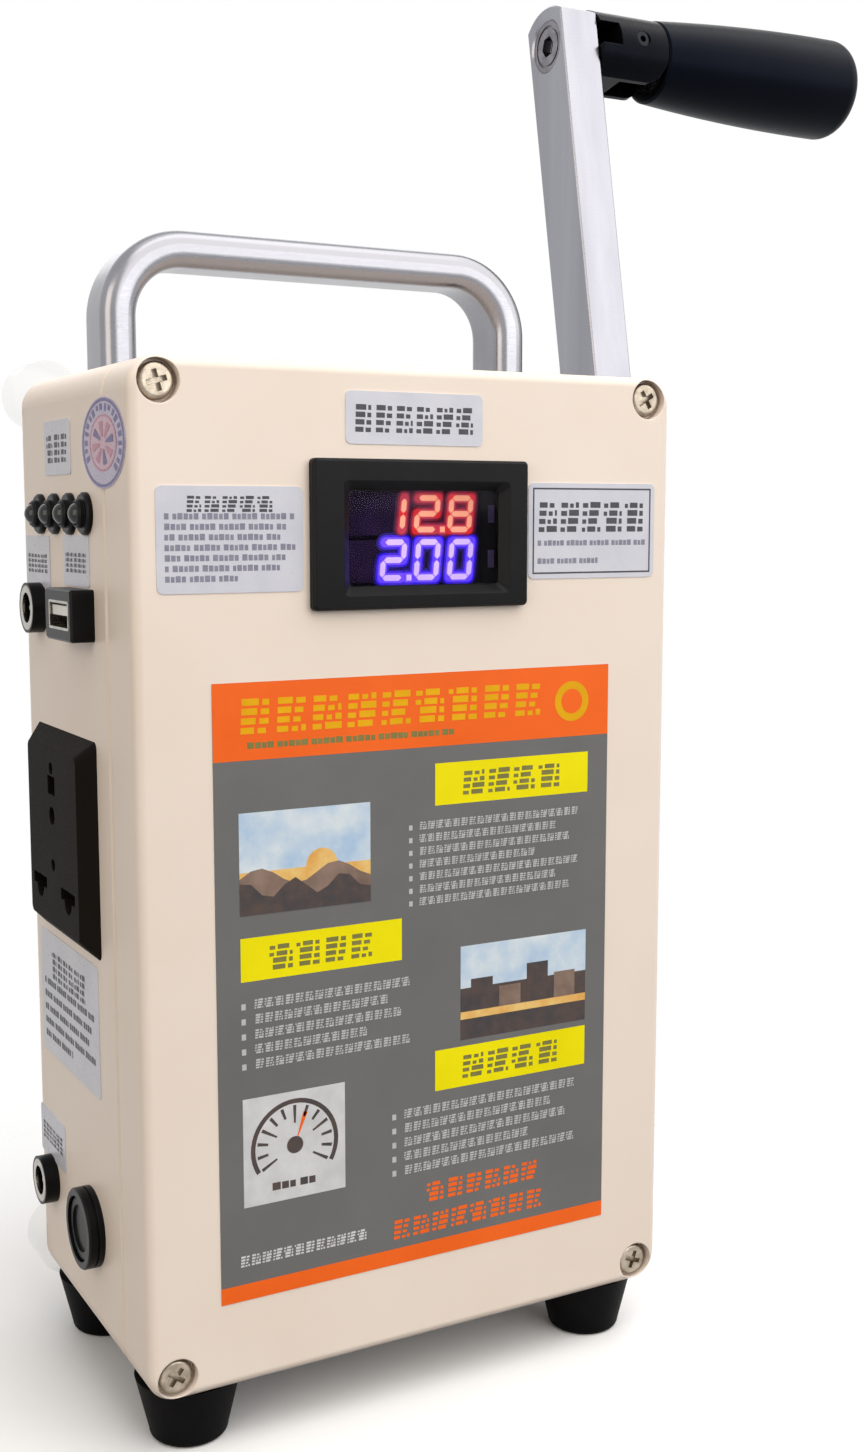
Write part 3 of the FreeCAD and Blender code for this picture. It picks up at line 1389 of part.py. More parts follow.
def grip_sleeve():
    """The swelling plastic sleeve that turns in the hand."""
    start = CORE_START
    low = CORE_START + CORE_FLANGE_T + SLEEVE_SIDE_GAP
    high = CLIP_AT - SLEEVE_SIDE_GAP
    bore = CORE_R + SLEEVE_GAP
    turn = SLEEVE_END - SLEEVE_END_R
    shrink = SLEEVE_END_R * ARC_IN
    outline = [
        (start, CAP_R), (start, SLEEVE_MOUTH_R - SLEEVE_CHAMFER),
        (start + SLEEVE_CHAMFER, SLEEVE_MOUTH_R),
        (SLEEVE_MID_AT, SLEEVE_MID_R, "arc"), (turn, SLEEVE_BACK_R),
        (SLEEVE_END - shrink, SLEEVE_BACK_R - shrink, "arc"),
        (SLEEVE_END, SLEEVE_BACK_R - SLEEVE_END_R),
        (SLEEVE_END, CAP_R), (high, CAP_R), (high, bore), (low, bore), (low, CAP_R),
    ]
    return revolve(outline, V(out(0), 0, ARM_L), V(1, 0, 0))


def make_grip():
    """The folding grip, from its base out to the end cap."""
    save("grip_base", lean(grip_base()))
    half = math.sqrt(GRIP_BASE_R ** 2 - PIN_UP ** 2) - PIN_SHORT
    save("fold_pin", lean(cross_pin(PIN_R, half).cut(cross_pin(PIN_BORE_R, half))))
    save("fold_link", lean(fold_link()))
    save("grip_core", lean(grip_core()))
    clip = tube(CLIP_R, CORE_R - CLIP_GROOVE, V(out(CLIP_AT), 0, ARM_L),
                V(out(CLIP_AT + CLIP_T), 0, ARM_L))
    slit = box(out(CLIP_AT), out(CLIP_AT + CLIP_T), -SHORT, SHORT, ARM_L - 2 * CLIP_R, ARM_L)
    save("core_clip", lean(clip.cut(slit)))
    spring = tube(SPRING_R, SPRING_R - SPRING_T, V(out(CHAMBER_START), 0, ARM_L),
                  V(out(LINK_END - LINK_HEAD_T), 0, ARM_L))
    save("grip_spring", lean(spring))
    save("grip_sleeve", lean(grip_sleeve()))
    cap = across(CAP_R, 0, ARM_L, out(SLEEVE_END - CAP_T), out(SLEEVE_END))
    cap = cap.makeChamfer(CAP_BEVEL, edges_on(cap, "x", out(SLEEVE_END)))
    save("grip_end_cap", lean(cap))


make_case()
make_meter()
make_lamps()
make_jacks()
make_usb()
make_mains()
make_switch()
make_gearbox()
make_generator()
make_battery()
make_board()
make_crank()
make_grip()
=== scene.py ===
import logging
import math
from dataclasses import dataclass, field
from enum import Enum
from functools import cache, partial

import bmesh
import bpy
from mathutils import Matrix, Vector


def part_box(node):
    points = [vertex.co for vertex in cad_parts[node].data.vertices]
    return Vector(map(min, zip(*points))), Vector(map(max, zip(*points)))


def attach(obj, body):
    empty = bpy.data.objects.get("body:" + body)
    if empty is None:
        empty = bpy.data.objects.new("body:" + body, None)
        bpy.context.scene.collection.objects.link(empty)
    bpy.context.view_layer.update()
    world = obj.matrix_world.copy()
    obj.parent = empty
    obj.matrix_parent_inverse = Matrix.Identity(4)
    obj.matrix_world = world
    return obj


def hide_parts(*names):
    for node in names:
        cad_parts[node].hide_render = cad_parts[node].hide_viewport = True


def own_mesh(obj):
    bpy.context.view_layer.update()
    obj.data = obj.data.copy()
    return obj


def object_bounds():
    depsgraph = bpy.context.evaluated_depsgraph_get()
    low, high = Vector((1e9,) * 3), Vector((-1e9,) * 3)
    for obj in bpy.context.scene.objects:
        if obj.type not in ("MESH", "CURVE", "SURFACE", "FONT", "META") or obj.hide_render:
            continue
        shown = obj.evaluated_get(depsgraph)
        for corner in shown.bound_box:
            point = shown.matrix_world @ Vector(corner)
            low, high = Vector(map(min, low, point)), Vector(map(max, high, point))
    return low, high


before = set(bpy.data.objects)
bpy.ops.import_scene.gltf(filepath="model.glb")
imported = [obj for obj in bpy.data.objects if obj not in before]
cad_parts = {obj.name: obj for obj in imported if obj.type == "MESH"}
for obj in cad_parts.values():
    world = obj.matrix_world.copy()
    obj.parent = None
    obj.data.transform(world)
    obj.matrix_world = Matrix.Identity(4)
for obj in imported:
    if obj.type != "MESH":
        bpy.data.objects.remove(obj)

logging.basicConfig(level=logging.INFO, format="%(message)s")
log = logging.getLogger("crank_generator")
cad_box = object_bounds()

MM = 0.001
GOLDEN = (math.sqrt(5) - 1) / 2
# The middle of a noise's range, where nearly all its values lie.
PATCH_SPAN = (0.32, 0.68)
GRAIN_SPAN = (0.3, 0.7)
BEVEL_SAMPLES = 8
COAT_ROUGHNESS = 0.12
# The rhythm of print that spells nothing, as shares of a row's height or a cluster's width.
WORD_LENGTH = 5
WORD_GAP = 0.55
LETTER_GAP = 0.16
CLUSTER_LEVELS = 4
CLUSTER_SHARE = 0.86
DASH_GAP = 0.11

Value = float | tuple | str | bool | bpy.types.NodeSocket
Point2 = tuple[float, float]
Point3 = tuple[float, float, float]


def linear(code: str, alpha: float = 1.0) -> tuple[float, float, float, float]:
    """Turn an sRGB hex colour into the linear colour that a shader takes.

    Args:
        code: six hex digits, such as "EEE0D2".
        alpha: the fourth value of the colour.

    Returns:
        The linear red, green and blue with alpha.
    """
    def channel(part: str) -> float:
        value = int(part, 16) / 255
        return value / 12.92 if value <= 0.04045 else ((value + 0.055) / 1.055) ** 2.4
    return channel(code[0:2]), channel(code[2:4]), channel(code[4:6]), alpha


def add_node(tree: bpy.types.NodeTree, kind: str, links: dict[str, Value] | None = None,
             **settings: Value) -> bpy.types.Node:
    """Add one shader node with its settings and inputs.

    Args:
        tree: the node tree that the node joins.
        kind: the node's Blender type without "ShaderNode".
        links: values or output sockets for inputs, by the input's name or number.
        settings: properties of the node itself, such as operation="MULTIPLY".

    Returns:
        The new node.
    """
    node = tree.nodes.new("ShaderNode" + kind)
    for name, value in settings.items():
        setattr(node, name, value)
    for name, value in (links or {}).items():
        socket = node.inputs[int(name)] if name.isdigit() else node.inputs[name]
        if isinstance(value, bpy.types.NodeSocket):
            tree.links.new(value, socket)
        else:
            socket.default_value = value
    return node


def placed(name: str, data: bpy.types.ID) -> bpy.types.Object:
    """Put a new object in the scene.

    Args:
        name: its name.
        data: its mesh, lamp or camera.

    Returns:
        The object.
    """
    piece = bpy.data.objects.new(name, data)
    bpy.context.scene.collection.objects.link(piece)
    return piece


@dataclass(frozen=True)
class Finish:
    """One real material with its surface, as a procedural shader."""

    name: str
    colour: str
    shade: str
    roughness: float
    metallic: float = 0.0
    coat: float = 0.0
    transmission: float = 0.0
    ior: float = 1.5
    alpha: float = 1.0
    glow: float = 0.0
    glow_colour: str = "000000"
    patch_mm: float = 14.0
    grain_mm: float = 0.35
    relief_mm: float = 0.012
    gloss_change: float = 0.08
    edge_mm: float = 0.0
    specular: float = 0.5
    # Colour of the reflections on non-metals; where it is not white, it is a painted reflection
    # colour.
    tint: str = "FFFFFF"
    stretch: Point3 = (1.0, 1.0, 1.0)

    def build(self) -> bpy.types.Material:
        """Make the Blender material.

        Returns:
            The material, with its nodes.
        """
        material = bpy.data.materials.new(self.name)
        material.use_nodes = True
        tree = material.node_tree
        shader = tree.nodes["Principled BSDF"]
        place = add_node(tree, "TexCoord").outputs["Object"]
        place = add_node(tree, "Mapping", {
            "Vector": place, "Scale": self.stretch}).outputs["Vector"]

        def noise(size: float, detail: float, roughness: float) -> bpy.types.NodeSocket:
            return add_node(tree, "TexNoise", {
                "Vector": place, "Scale": 1 / (size * MM), "Detail": detail,
                "Roughness": roughness}).outputs["Fac"]
        patches, grain = noise(self.patch_mm, 3.0, 0.55), noise(self.grain_mm, 2.0, 0.5)
        spread = add_node(tree, "MapRange", {
            "Value": patches, "From Min": PATCH_SPAN[0], "From Max": PATCH_SPAN[1]})
        colour = add_node(tree, "Mix", {
            "Factor": spread.outputs["Result"], "6": linear(self.colour), "7": linear(self.shade)},
            data_type="RGBA")
        tree.links.new(colour.outputs[2], shader.inputs["Base Color"])
        gloss = add_node(tree, "MapRange", {
            "Value": grain, "From Min": GRAIN_SPAN[0], "From Max": GRAIN_SPAN[1],
            "To Min": max(self.roughness - self.gloss_change, 0.02),
            "To Max": min(self.roughness + self.gloss_change, 1.0)})
        tree.links.new(gloss.outputs["Result"], shader.inputs["Roughness"])
        bump = add_node(tree, "Bump", {
            "Height": grain, "Distance": self.relief_mm * MM, "Strength": 1.0})
        if self.edge_mm > 0:
            eased = add_node(tree, "Bevel", {"Radius": self.edge_mm * MM}, samples=BEVEL_SAMPLES)
            tree.links.new(eased.outputs["Normal"], bump.inputs["Normal"])
        tree.links.new(bump.outputs["Normal"], shader.inputs["Normal"])
        self.settle(shader)
        return material

    def settle(self, shader: bpy.types.Node) -> None:
        """Set what is the same all over the surface.

        Args:
            shader: the material's main node.
        """
        values: dict[str, Value] = {
            "Metallic": self.metallic, "Coat Weight": self.coat, "Coat Roughness": COAT_ROUGHNESS,
            "Transmission Weight": self.transmission, "Alpha": self.alpha}
        if self.metallic < 0.5:
            values |= {"IOR": self.ior, "Specular IOR Level": self.specular,
                       "Specular Tint": linear(self.tint)}
        if self.glow > 0:
            values |= {"Emission Color": linear(self.glow_colour), "Emission Strength": self.glow}
        for name, value in values.items():
            shader.inputs[name].default_value = value


@cache
def shared(finish: Finish) -> bpy.types.Material:
    """Give the one material of a finish, built on first use.

    Args:
        finish: the finish.

    Returns:
        Its material.
    """
    return finish.build()


# What bare metals, inks on vinyl and inks under film share.
metal = partial(Finish, metallic=1.0, relief_mm=0.004)
ink_on_vinyl = partial(Finish, roughness=0.5, grain_mm=0.4, patch_mm=2)
laminate = partial(Finish, roughness=0.42, grain_mm=0.6)


class Palette:
    """Every finish on the object, named for what it is."""

    # Cream ABS is nearly even with a fine eggshell grain, so the case reads as moulded.
    case = Finish("moulded ABS, cream eggshell", "F1E3D6", "EDDED0", 0.42, grain_mm=0.5,
                  relief_mm=0.010, patch_mm=40, gloss_change=0.05, edge_mm=0.4)
    # Black ABS fittings have a finer grain and a tighter sheen than the case.
    black = Finish("moulded ABS, black fine texture", "0A0A0B", "111113", 0.34, grain_mm=0.3,
                   relief_mm=0.008, patch_mm=9, gloss_change=0.06, edge_mm=0.25, specular=0.11)
    # The socket is browner and duller, so its bevels stay readable.
    socket = Finish("moulded PBT, charcoal matt", "1A1714", "1F1C19", 0.52, patch_mm=16,
                    edge_mm=0.3, specular=0.015)
    # Soft rubber scatters light widely and shows no clear reflection.
    rubber = Finish("moulded rubber, black matt", "070708", "0D0C0D", 0.55, grain_mm=0.4,
                    relief_mm=0.02, patch_mm=6, specular=0.05)
    # The seal is a cast cord that shows as a fine pale line between the shells.
    seal = Finish("silicone cord, ivory matt", "F4ECDF", "E9E0D2", 0.6, grain_mm=0.4, patch_mm=8)
    # Soft clear vinyl takes the colour behind it and shows mostly at its rim.
    clear = Finish("cast PVC, clear", "FBFBF8", "F4F6F2", 0.16, alpha=0.13, ior=1.45, grain_mm=1.2,
                   relief_mm=0.004, patch_mm=5, gloss_change=0.03)
    # Nickel plate is bright and slightly warm with shallow tool marks.
    nickel = metal("nickel-plated steel, polished", "B3ADA3", "8E8981", 0.24, grain_mm=0.25,
                   patch_mm=2.5, edge_mm=0.15)
    # The lid screws have gone dull and warm, with the cross left dark.
    screw = metal("nickel-plated steel, dulled", "B0A596", "8A8073", 0.34, grain_mm=0.3,
                  relief_mm=0.006, patch_mm=2, edge_mm=0.15)
    # Zinc plate on the inner fixings is duller and bluish.
    zinc = metal("zinc-plated steel, satin", "A9ADB3", "8E9298", 0.34, grain_mm=0.4, patch_mm=5)
    # Satin anodising on the handle spreads light along the brushed direction.
    handle = metal("anodised aluminium, satin", "95959A", "8A8A8F", 0.24, stretch=(0.06, 1.0, 1.0),
                   grain_mm=0.18, relief_mm=0.0012, patch_mm=16, gloss_change=0.04)
    # The arm is brushed along its length and catches light on its eased edges.
    arm = metal("bright-drawn steel, brushed lengthways", "9B9BA2", "8E8E95", 0.26,
                stretch=(1.0, 1.0, 0.05), grain_mm=0.16, relief_mm=0.0005, patch_mm=9,
                gloss_change=0.03, edge_mm=0.4)
    # The arm's countersunk screw is darker, with its turned rings catching light.
    turned = metal("turned steel, phosphated", "8A878C", "716E73", 0.24, grain_mm=0.2, patch_mm=3,
                   edge_mm=0.2)
    # Black oxide leaves a faint metal sheen on the hinge pin.
    oxide = metal("steel, black oxide", "2A2B2F", "1E1F23", 0.28, grain_mm=0.2, patch_mm=3,
                  edge_mm=0.15)
    # Machined gears and shafts keep a dark oily tone.
    gear = metal("machined steel, oiled", "8C8B8A", "6C6A68", 0.3, grain_mm=0.2, patch_mm=4)
    # Spring wire is darker and smoother than the machined parts.
    wire = metal("music wire, oiled", "77746F", "5C5A57", 0.25, grain_mm=0.15, relief_mm=0.002,
                 patch_mm=2)
    # The drawn motor can is smooth passivated steel.
    can = metal("drawn steel, passivated", "9A9B9E", "85868A", 0.3, patch_mm=9, relief_mm=0.012)
    # Sintered magnets are dark with a sparkling grain.
    magnet = Finish("sintered ferrite, dark grey", "26272A", "34363A", 0.5, metallic=0.4,
                    grain_mm=0.15)
    # Enamelled wire gives the rotor a warm red-brown shine.
    copper = Finish("enamelled copper winding", "9A4A22", "7C3616", 0.32, metallic=0.8,
                    stretch=(0.1, 1.0, 1.0), grain_mm=0.3, relief_mm=0.03, patch_mm=4)
    # Shrink sleeve on the cells is smooth and a little glossy.
    sleeve = Finish("shrink-sleeve PVC, blue", "2C5C9E", "244E8A", 0.3, grain_mm=1.0, patch_mm=12)
    # Solder mask has a gloss over fine copper relief.
    board = Finish("FR4 board, green solder mask", "1F5A38", "184A2E", 0.3, coat=0.4, grain_mm=0.9,
                   relief_mm=0.02, patch_mm=3)
    # The clear epoxy domes are painted near black, standing in for the dark bezel inside seen
    # through them; each catches one small sharp highlight from the lamps.
    lamp = Finish("cast epoxy, painted dark", "060709", "0A0B0E", 0.05, grain_mm=1.5,
                  relief_mm=0.002, patch_mm=3, gloss_change=0.02, specular=0.45)
    # The tongue is a plain white liquid-crystal polymer.
    tongue = Finish("moulded LCP, white", "F4F3EF", "E9E8E2", 0.4, grain_mm=0.3, patch_mm=3)
    # Spring brass inside the socket is dull yellow.
    brass = metal("spring brass, dull", "B08B45", "8E6E34", 0.36, patch_mm=3, relief_mm=0.012)
    # Enamel over a blasted casting leaves the hinge block black with a soft grain; its blue
    # specular tint is a painted reflection colour.
    hinge = Finish("cast zinc, black enamel", "070708", "0D0D0F", 0.30, grain_mm=0.4,
                   relief_mm=0.015, patch_mm=5, edge_mm=0.3, specular=0.07, tint="9DB0E4")
    # Hard black plastic shows a sheen on the crown of the grip; its cool blue is a painted
    # reflection colour, given as a specular tint.
    grip = Finish("moulded nylon, black satin", "06070A", "090A0E", 0.36, relief_mm=0.010,
                  gloss_change=0.06, edge_mm=0.3, specular=0.08, tint="8CA6E8")
    # The smoked window hides the unlit board and leaves only what glows.
    window = Finish("cast acrylic, smoked violet", "D2C4E4", "C6B6DC", 0.04, transmission=1.0,
                    ior=1.12, grain_mm=2.0, relief_mm=0.001, gloss_change=0.02, specular=0.05)
    # Potting resin gives the unlit display blocks a dark violet cast.
    potting = Finish("cast resin, dark violet", "2E1A3A", "21122C", 0.5, patch_mm=5, specular=0.1)
    # Vinyl labels are cool and pale with a faint orange peel, and their inks lie dull.
    label = Finish("printed vinyl, pale lavender grey", "D3D4DD", "C8CAD6", 0.34, grain_mm=0.8,
                   relief_mm=0.006, patch_mm=9)
    ink = ink_on_vinyl("screen ink, charcoal", "2C2B33", "3A3942")
    grey_ink = ink_on_vinyl("screen ink, mid grey", "77768A", "8A8999")
    # The round sticker is glossier than the labels, which lifts its violet and pink.
    seal_film = Finish("printed vinyl, pale violet", "A99CB8", "9C90B0", 0.25, patch_mm=6, coat=0.3)
    blush = Finish("printed vinyl, rose tint", "BE8EA4", "B48098", 0.25, patch_mm=4, coat=0.3)
    violet_ink = ink_on_vinyl("screen ink, violet", "5B4F86", "6C6296", roughness=0.42, patch_mm=3)
    pink_ink = ink_on_vinyl("screen ink, pink", "C98AA0", "B97A92", roughness=0.42, patch_mm=3)
    # The poster's grey ground drifts a little, so that it doesn't look flat.
    field = laminate("laminated print, slate grey", "666665", "5F5F5E", patch_mm=22,
                     relief_mm=0.006)
    # Its strong inks have less gloss, which keeps them saturated.
    orange = laminate("laminated print, orange", "FA6C20", "F36619", roughness=0.40, patch_mm=20,
                      specular=0.22)
    yellow = laminate("laminated print, yellow", "FAED0C", "F2E404", roughness=0.40, patch_mm=15,
                      specular=0.15)
    gold = laminate("laminated print, amber", "F0B412", "E4A80C", roughness=0.40, patch_mm=8,
                    specular=0.15)
    # The fine print is muted, so that it sinks into the ground from afar.
    olive = laminate("laminated print, olive grey", "6E6A2C", "7C7834", patch_mm=3)
    pale = laminate("laminated print, off-white", "D9DADB", "C9CACC", patch_mm=4, grain_mm=0.5)
    mist = laminate("laminated print, light grey", "C4C5C6", "B9BABC", patch_mm=4, grain_mm=0.5)
    # The pictures' inks drift between two tones, as cloud, straw and rock do.
    sky = laminate("laminated print, pale sky", "A9C6E4", "DCE6EC", roughness=0.40, patch_mm=7)
    sun = laminate("laminated print, straw", "EDC87A", "E0A44C", roughness=0.40, patch_mm=4)
    hill = laminate("laminated print, dark hill", "2A2528", "46352E", patch_mm=3)
    umber = laminate("laminated print, umber", "6A5348", "8C7566", patch_mm=5)
    # The segments glow through the window. Round each lies painted glow: wider emitting layers that
    # fade and deepen, standing in for the light the window scatters.
    red_layers, blue_layers = (tuple(
        Finish(f"LED {part}", colour, shade, 0.5, glow=glow, glow_colour=light, patch_mm=3)
        for part, colour, shade, glow, light in layers) for layers in (
            (("painted glow, deep red", "3C0E1E", "320C1A", 0.3, "6A1A34"),
             ("painted glow, red", "7E1C30", "701828", 0.5, "B0283C"),
             ("painted glow, bright red", "C43A44", "B8303E", 0.7, "E04240"),
             ("segment, warm red", "FFC084", "FFB678", 1.0, "FFBC74")),
            (("painted glow, deep violet", "1E1060", "180C50", 0.35, "3420A8"),
             ("painted glow, violet blue", "3A22C0", "321CB0", 0.6, "4E30F0"),
             ("painted glow, bright violet", "7656F8", "6A4AF0", 0.85, "8260FF"),
             ("segment, pale violet", "E4DCFF", "DCD2FF", 1.0, "E0D6FF"))))


class Face(Enum):
    """A flat outside face of the case that prints lie on."""

    FRONT = "front"
    LEFT = "left"


@dataclass(frozen=True)
class Plane:
    """An upright flat place on the object, with its direction to the right."""

    origin: Vector
    right: Vector

    @staticmethod
    def on(face: Face, place: Point2) -> "Plane":
        """Lay a plane on a face of the case.

        Args:
            face: the face.
            place: the origin in millimetres, along the face's world axis and up.

        Returns:
            The plane, facing outwards.
        """
        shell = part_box("front_lid" if face is Face.FRONT else "base_shell")[0]
        across, height = place[0] * MM, place[1] * MM
        if face is Face.FRONT:
            return Plane(Vector((across, shell.y, height)), Vector((1, 0, 0)))
        return Plane(Vector((shell.x, across, height)), Vector((0, -1, 0)))


@dataclass(frozen=True)
class Area:
    """An upright rectangle on a plane, in millimetres."""

    left: float
    low: float
    wide: float
    high: float

    def point(self, across: float, up: float) -> Point2:
        """Give a point of it.

        Args:
            across: its place, as a share of the width.
            up: its height, as a share of the height.

        Returns:
            The point.
        """
        return self.left + self.wide * across, self.low + self.high * up

    def corners(self) -> list[Point2]:
        """Give its corners.

        Returns:
            The four corners, turning left.
        """
        return [self.point(*share) for share in ((0, 0), (1, 0), (1, 1), (0, 1))]

    def part(self, across: float, up: float, wide: float, high: float) -> "Area":
        """Take a part of it.

        Args:
            across: its left side, as a share of the width.
            up: its lower side, as a share of the height.
            wide: its width, as a share.
            high: its height, as a share.

        Returns:
            The part.
        """
        return Area(*self.point(across, up), self.wide * wide, self.high * high)


@dataclass
class Printer:
    """Flat coloured shapes gathered into one mesh on a plane, in layers over a sheet."""

    name: str
    plane: Plane
    thickness: float = 0.0
    step: float = 0.02
    body: str = "case"
    mesh: bmesh.types.BMesh = field(default_factory=bmesh.new)
    finishes: list[Finish] = field(default_factory=list)

    def face(self, corners: list[Point3], finish: Finish) -> None:
        """Add one face.

        Args:
            corners: its corners in millimetres, each with its height over the plane.
            finish: its colour.
        """
        if finish not in self.finishes:
            self.finishes.append(finish)
        right, up = self.plane.right, Vector((0, 0, 1))
        out = right.cross(up)
        points = [self.mesh.verts.new(self.plane.origin + (right * x + up * z + out * lift) * MM)
                  for x, z, lift in corners]
        self.mesh.faces.new(points).material_index = self.finishes.index(finish)

    def sheet(self, outline: list[Point2], finish: Finish) -> None:
        """Add the sheet that carries the prints.

        Args:
            outline: its corners, turning left.
            finish: its colour.
        """
        top = self.thickness
        self.face([(x, z, top) for x, z in outline], finish)
        self.face([(x, z, 0) for x, z in outline[::-1]], finish)
        for (x0, z0), (x1, z1) in zip(outline, outline[1:] + outline[:1]):
            self.face([(x0, z0, 0), (x1, z1, 0), (x1, z1, top), (x0, z0, top)], finish)

    def polygon(self, outline: list[Point2], finish: Finish, layer: int = 0) -> None:
        """Print one flat shape.

        Args:
            outline: its corners, turning left.
            finish: its colour.
            layer: how many prints lie under it.
        """
        lift = self.thickness + self.step * (layer + 1)
        self.face([(x, z, lift) for x, z in outline], finish)

    def rect(self, area: Area, finish: Finish, layer: int = 0) -> None:
        """Print an upright rectangle.

        Args:
            area: where it is.
            finish: its colour.
            layer: how many prints lie under it.
        """
        self.polygon(area.corners(), finish, layer)

    def ring(self, centre: Point2, outer: Point2, inner: float, finish: Finish, layer: int = 0,
             start: float = 0.0, sweep: float = 360.0) -> None:
        """Print a band that follows an ellipse.

        Args:
            centre: the middle.
            outer: the outer radii, across and up.
            inner: the inner radii as a share of the outer ones.
            finish: its colour.
            layer: how many prints lie under it.
            start: where it begins, in degrees.
            sweep: how far it goes, in degrees.
        """
        count = max(int(sweep / 7.5), 3)
        turns = [math.radians(start + sweep * k / count) for k in range(count + 1)]
        rim = [(math.cos(turn) * outer[0], math.sin(turn) * outer[1]) for turn in turns]
        for (ax, az), (bx, bz) in zip(rim, rim[1:]):
            points = [(ax, az), (bx, bz), (bx * inner, bz * inner), (ax * inner, az * inner)]
            if inner <= 0:
                points = points[:3]
            self.polygon([(centre[0] + x, centre[1] + z) for x, z in points], finish, layer)

    def words(self, row: Area, finish: Finish, seed: int = 0, letters: float = 0.8,
              layer: int = 0) -> None:
        """Print a row of small blocks that stands for lettering without being any.

        Args:
            row: where the row runs.
            finish: the ink.
            seed: shifts the rhythm, so that rows differ.
            letters: width of a block as a share of its height.
            layer: how many prints lie under it.
        """
        x, end, count = row.left, row.left + row.wide, seed * 7
        while x < end - row.high * letters * 0.5:
            turn = (count * GOLDEN) % 1.0
            wide = min(row.high * letters * (0.75 + 0.5 * turn), end - x)
            self.rect(Area(x, row.low + row.high * 0.12, wide, row.high * (0.74 + 0.14 * turn)),
                      finish, layer)
            gap = WORD_GAP if count % WORD_LENGTH == 0 else LETTER_GAP
            x += wide + row.high * gap
            count += 1

    def clusters(self, row: Area, count: int, finish: Finish, seed: int = 0,
                 layer: int = 0) -> None:
        """Print a row of dash clusters that looks like print from afar and spells nothing.

        Args:
            row: where the row runs.
            count: how many clusters.
            finish: the ink.
            seed: shifts the dashes, so that rows differ.
            layer: how many prints lie under it.
        """
        pitch = row.wide / count
        wide = pitch * CLUSTER_SHARE
        for k in range(count):
            for level in range(CLUSTER_LEVELS):
                low = row.low + row.high * level / CLUSTER_LEVELS
                step = k * 3 + level * 5 + seed
                end = row.left + pitch * k + wide
                x = row.left + pitch * k + wide * 0.16 * ((step * GOLDEN) % 1.0)
                while x < end - wide * 0.1:
                    turn = (step * GOLDEN) % 1.0
                    dash = min(wide * (0.16 + 0.42 * turn), end - x)
                    self.rect(Area(x, low, dash, row.high * (0.13 + 0.06 * turn)), finish, layer)
                    x += dash + wide * DASH_GAP
                    step += 1

    def finish(self) -> bpy.types.Object:
        """Turn what was gathered into an object that rides on its body.

        Returns:
            The object.
        """
        data = bpy.data.meshes.new(self.name)
        self.mesh.to_mesh(data)
        self.mesh.free()
        for finish in self.finishes:
            data.materials.append(shared(finish))
        piece = placed(self.name, data)
        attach(piece, self.body)
        return piece


def rounded(width: float, height: float, radius: float, steps: int = 5) -> list[Point2]:
    """Outline a rectangle with round corners about the origin.

    Args:
        width: full width.
        height: full height.
        radius: corner radius.
        steps: points on each corner.

    Returns:
        The points, turning left.
    """
    points = []
    for quarter, (sx, sz) in enumerate([(1, 1), (-1, 1), (-1, -1), (1, -1)]):
        for k in range(steps):
            turn = math.radians(90 * (quarter + k / (steps - 1)))
            points.append((sx * (width / 2 - radius) + radius * math.cos(turn),
                           sz * (height / 2 - radius) + radius * math.sin(turn)))
    return points


@dataclass
class Label:
    """A small vinyl label with greeked lettering. Lengths are in millimetres."""

    name: str
    face: Face
    place: Point2
    size: Point2
    title: float
    glyphs: int
    title_down: float
    rows: int = 0
    row_height: float = 0.9
    row_ink: Finish = Palette.grey_ink
    border: float = 0.0
    corner: float = 1.2
    thickness: float = 0.15
    margin: float = 1.6
    border_share: float = 0.45
    title_inset: float = 0.16
    letters: float = 0.62
    ragged: float = 0.06
    last_short: float = 0.45

    def build(self) -> bpy.types.Object:
        """Make the label.

        Returns:
            The label's object.
        """
        wide, high = self.size
        printer = Printer(self.name, Plane.on(self.face, self.place), self.thickness)
        printer.sheet(rounded(wide, high, self.corner), Palette.label)
        if self.border:
            line, inset = self.border, self.margin * self.border_share
            left, low, long, tall = (inset - wide / 2, inset - high / 2, wide - 2 * inset,
                                     high - 2 * inset - 2 * line)
            for x, z, across, up in ((left, low, long, line), (left, -low - line, long, line),
                                     (left, low + line, line, tall),
                                     (-left - line, low + line, line, tall)):
                printer.rect(Area(x, z, across, up), Palette.ink)
        left, across = self.margin - wide / 2, wide - 2 * self.margin
        foot = high / 2 - self.title_down - self.title
        inset = across * (self.title_inset if self.rows > 3 else 0.0)
        printer.clusters(Area(left + inset, foot, across - 2 * inset, self.title), self.glyphs,
                         Palette.ink, self.glyphs + self.rows)
        gap = (foot + high / 2 - self.margin) / max(self.rows, 1)
        for row in range(self.rows):
            short = self.last_short if row == self.rows - 1 else self.ragged * (row % 3)
            place = Area(left, foot - gap * (row + 0.8), across * (1 - short), self.row_height)
            printer.words(place, self.row_ink, row + 5, self.letters)
        return printer.finish()


